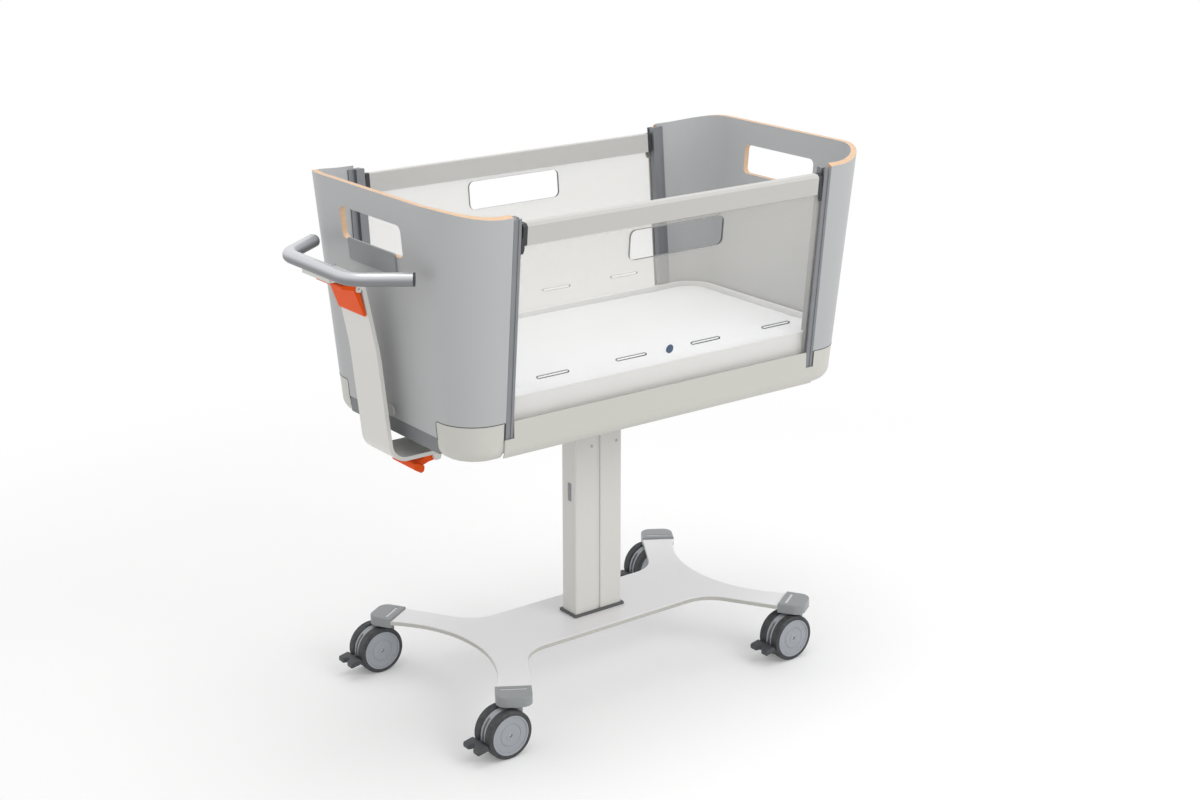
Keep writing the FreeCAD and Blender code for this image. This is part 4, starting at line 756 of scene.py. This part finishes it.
# ---------------------------------------------------------------- brake pedals
PEDAL_DEPTH = 24.5 * MM  # from the tip of the lobes to the neck
PEDAL_MIDDLE_Z, PEDAL_THICKER = 36.4 * MM, 1.45
PEDAL_CELL, PEDAL_SMOOTHING = 1.0 * MM, 16
PEDAL_OVERLAP = 2.5 * MM  # how far the neck reaches into the lobes
PEDAL_FLAT = 3 * MM  # where flat shading starts, before the neck


def cut_across(mesh, x, keep_left):
    """One side of a closed mesh cut across X, with the cut closed again."""
    build = bmesh.new()
    build.from_mesh(mesh)
    bmesh.ops.remove_doubles(build, verts=build.verts, dist=0.01 * MM)
    everything = build.verts[:] + build.edges[:] + build.faces[:]
    cut = bmesh.ops.bisect_plane(build, geom=everything, plane_co=(x, 0, 0), plane_no=(1, 0, 0),
                                 clear_outer=keep_left, clear_inner=not keep_left)
    rim = [part for part in cut["geom_cut"] if isinstance(part, bmesh.types.BMEdge)]
    bmesh.ops.edgeloop_fill(build, edges=rim)
    side = bpy.data.meshes.new("pedal_side")
    build.to_mesh(side)
    build.free()
    return side


def rounded_pedals():
    """The four brake pedals with thicker lobes, rounded over as a soft moulding is."""
    for corner, _, _ in CORNERS:
        node = "castor_pedal_" + corner
        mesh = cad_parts[node].data.copy()
        neck_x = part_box(node)[0].x + PEDAL_DEPTH
        for vertex in mesh.vertices:
            if vertex.co.x < neck_x:
                vertex.co.z = PEDAL_MIDDLE_Z + (vertex.co.z - PEDAL_MIDDLE_Z) * PEDAL_THICKER
        item = put_in_scene("pedal_" + corner, mesh)
        cells = item.modifiers.new("cells", "REMESH")
        cells.mode, cells.voxel_size = "VOXEL", PEDAL_CELL
        smooth = item.modifiers.new("rounding", "SMOOTH")
        smooth.factor, smooth.iterations = 0.5, PEDAL_SMOOTHING
        depsgraph = bpy.context.evaluated_depsgraph_get()
        rounded = bpy.data.meshes.new_from_object(item.evaluated_get(depsgraph))
        item.modifiers.clear()
        both = bmesh.new()
        both.from_mesh(cut_across(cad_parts[node].data, neck_x - PEDAL_OVERLAP, False))
        both.from_mesh(cut_across(rounded, neck_x, True))
        item.data = bpy.data.meshes.new("pedal_" + corner)
        both.to_mesh(item.data)
        both.free()
        item.data.materials.append(FINISHES["pedal"])
        for face in item.data.polygons:
            face.use_smooth = face.center.x < neck_x - PEDAL_FLAT
            face.material_index = 0
        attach(item, "pedal_" + corner)
        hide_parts(node)


# ---------------------------------------------------------------- painted shadow in the gaps round the corner covers
# The dark tube is painted shadow for the gaps round the corner covers
GAP_SHADOW_RADIUS, GAP_SHADOW_DEPTH, GAP_SHADOW_SIDES = 0.9 * MM, 0.7, 8


def wall_radius(z):
    """How far the crib's outer face lies from its corner axis at a height."""
    return WALL_REF_RADIUS + (z - WALL_REF_Z) * WALL_SLOPE


def cover_gap_shadow_path():
    """The line round a lower corner cover: up its end-wall edge, over the top, down by the rail."""
    top, low, bend, round_off = 678.3 * MM, 602 * MM, 30 * MM, 6 * MM
    edge_y, leg_x = 160 * MM, CORNER_X - 15.2 * MM
    side = []
    for step in range(8):
        angle = math.radians(-75 + 75 * step / 7)
        side.append((wall_radius(low) - bend + bend * math.cos(angle),
                     low + bend + bend * math.sin(angle)))
    for step in range(1, 5):
        z = low + bend + (top - round_off - low - bend) * step / 4
        side.append((wall_radius(z), z))
    line = [Vector((CORNER_X + radius, edge_y, z)) for radius, z in side]
    for step in range(1, 5):
        angle = TURN / 4 * step / 4
        z = top - round_off + round_off * math.sin(angle)
        line.append(Vector((CORNER_X + wall_radius(z),
                            edge_y + round_off * (1 - math.cos(angle)), z)))
    for step in range(17):
        angle = TURN / 4 * step / 16
        line.append(Vector((CORNER_X + wall_radius(top) * math.cos(angle),
                            CORNER_Y + wall_radius(top) * math.sin(angle), top)))
    line.append(Vector((leg_x, CORNER_Y + wall_radius(top), top)))
    line += [Vector((leg_x, CORNER_Y + radius, z)) for radius, z in reversed(side)]
    return line


def cover_gap_shadows():
    """Thin dark tube round each lower corner cover: painted shadow in the gap between cover and
    wall.
    """
    for name, sx, sy in CORNERS:
        line = [Vector((AXIS_X + sx * spot.x, sy * spot.y, spot.z)) for spot in cover_gap_shadow_path()]
        inner = Vector((AXIS_X + sx * CORNER_X * 0.6, 0, 650 * MM))
        build = bmesh.new()
        rings = []
        for index, spot in enumerate(line):
            before, after = line[max(index - 1, 0)], line[min(index + 1, len(line) - 1)]
            ahead = (after - before).normalized()
            out = spot - inner
            out = (out - ahead * out.dot(ahead)).normalized()
            side = ahead.cross(out)
            ring = []
            for i in range(GAP_SHADOW_SIDES):
                angle = TURN * i / GAP_SHADOW_SIDES
                away = out * math.sin(angle) * GAP_SHADOW_DEPTH + side * math.cos(angle)
                ring.append(build.verts.new(spot + away * GAP_SHADOW_RADIUS))
            rings.append(ring)
        skin_rings(build, rings)
        new_piece("cover_seal_" + name, build, "seal", "crib")


# ---------------------------------------------------------------- stage
VIEW_PLACE = (AXIS_X - 2.3202, -3.1062, 1.8548)
VIEW_YAW, VIEW_PITCH = 0.646, 0.317
SENSOR_WIDTH, FOCAL_SHARE = 36.0, 1986 / 1200  # the focal length as a share of the sensor's width
AMBIENT = 0.72
FLOOR, FLOOR_LIFT = (0.84, 0.84, 0.84), (0.16, 0.16, 0.16)
FLOOR_REACH, FLOOR_FADE, FLOOR_FADE_BLUR = 14.0, 1.6, 0.6


def camera():
    """The viewing place, from the front left and above."""
    data = bpy.data.cameras.new("view")
    data.sensor_width = SENSOR_WIDTH
    data.lens = FOCAL_SHARE * SENSOR_WIDTH
    item = put_in_scene("view", data)
    item.location = VIEW_PLACE
    look = Vector((math.sin(VIEW_YAW) * math.cos(VIEW_PITCH),
                   math.cos(VIEW_YAW) * math.cos(VIEW_PITCH), -math.sin(VIEW_PITCH)))
    item.rotation_mode = "QUATERNION"
    item.rotation_quaternion = look.to_track_quat("-Z", "Y")
    bpy.context.scene.camera = item


def seen_directly(board):
    """1 for what the eye, a gloss or a clear pane sees, 0 for what only lights the object."""
    path = board.node("ShaderNodeLightPath", {}, output="Is Camera Ray")
    seen = path.largest(path.beside("Is Glossy Ray"))
    return seen.largest(path.beside("Is Transmission Ray"))


def floor():
    """White floor that keeps the soft shadow and fades into the background further out."""
    mesh = bpy.data.meshes.new("floor")
    reach = FLOOR_REACH
    mesh.from_pydata([(-reach, -reach, 0), (reach, -reach, 0), (reach, reach, 0),
                      (-reach, reach, 0)], [], [(0, 1, 2, 3)])
    item = put_in_scene("floor", mesh)
    finish = Finish("studio_floor", FLOOR, 0.7, Specular_IOR_Level=0.1, Emission_Strength=1.0)
    finish.paint("Emission Color", finish.blend(seen_directly(finish), BLACK, FLOOR_LIFT))
    spread = finish.vector("LENGTH", finish.place, output="Value")
    glow = finish.node("ShaderNodeEmission", {}, WHITE, 1.0)
    faded = finish.node("ShaderNodeMixShader", {}, spread.above(FLOOR_FADE, FLOOR_FADE_BLUR),
                        Wire(finish, finish.shader.outputs[0]), glow)
    finish.plug(finish.nodes["Material Output"].inputs["Surface"], faded)
    mesh.materials.append(finish.material)


def area(name, place, aim, size, power):
    """A large soft lamp."""
    data = bpy.data.lights.new(name, "AREA")
    data.shape = "RECTANGLE"
    data.size, data.size_y = size
    data.energy = power
    item = put_in_scene(name, data)
    item.location = place
    item.rotation_mode = "QUATERNION"
    item.rotation_quaternion = (Vector(aim) - Vector(place)).to_track_quat("-Z", "Y")


def studio():
    """White surroundings and two soft lamps."""
    world = bpy.data.worlds.new("studio")
    bpy.context.scene.world = world
    board = Board(world)
    background = board.nodes["Background"]
    board.plug(background.inputs["Color"], WHITE)
    board.plug(background.inputs["Strength"], seen_directly(board) * (1.0 - AMBIENT) + AMBIENT)
    area("key", place=(1.3, -3.2, 2.9), aim=(0, 0, 0.6), size=(2.4, 2.0), power=40)
    area("top", place=(0.2, 0.1, 3.4), aim=(0, 0, 0.5), size=(2.0, 2.0), power=32)


camera()
floor()
studio()
dress_nodes()
openings()
rounded_pedals()
mattress()
screws()
plates()
cover_gap_shadows()

bpy.context.scene.view_settings.view_transform = "Standard"
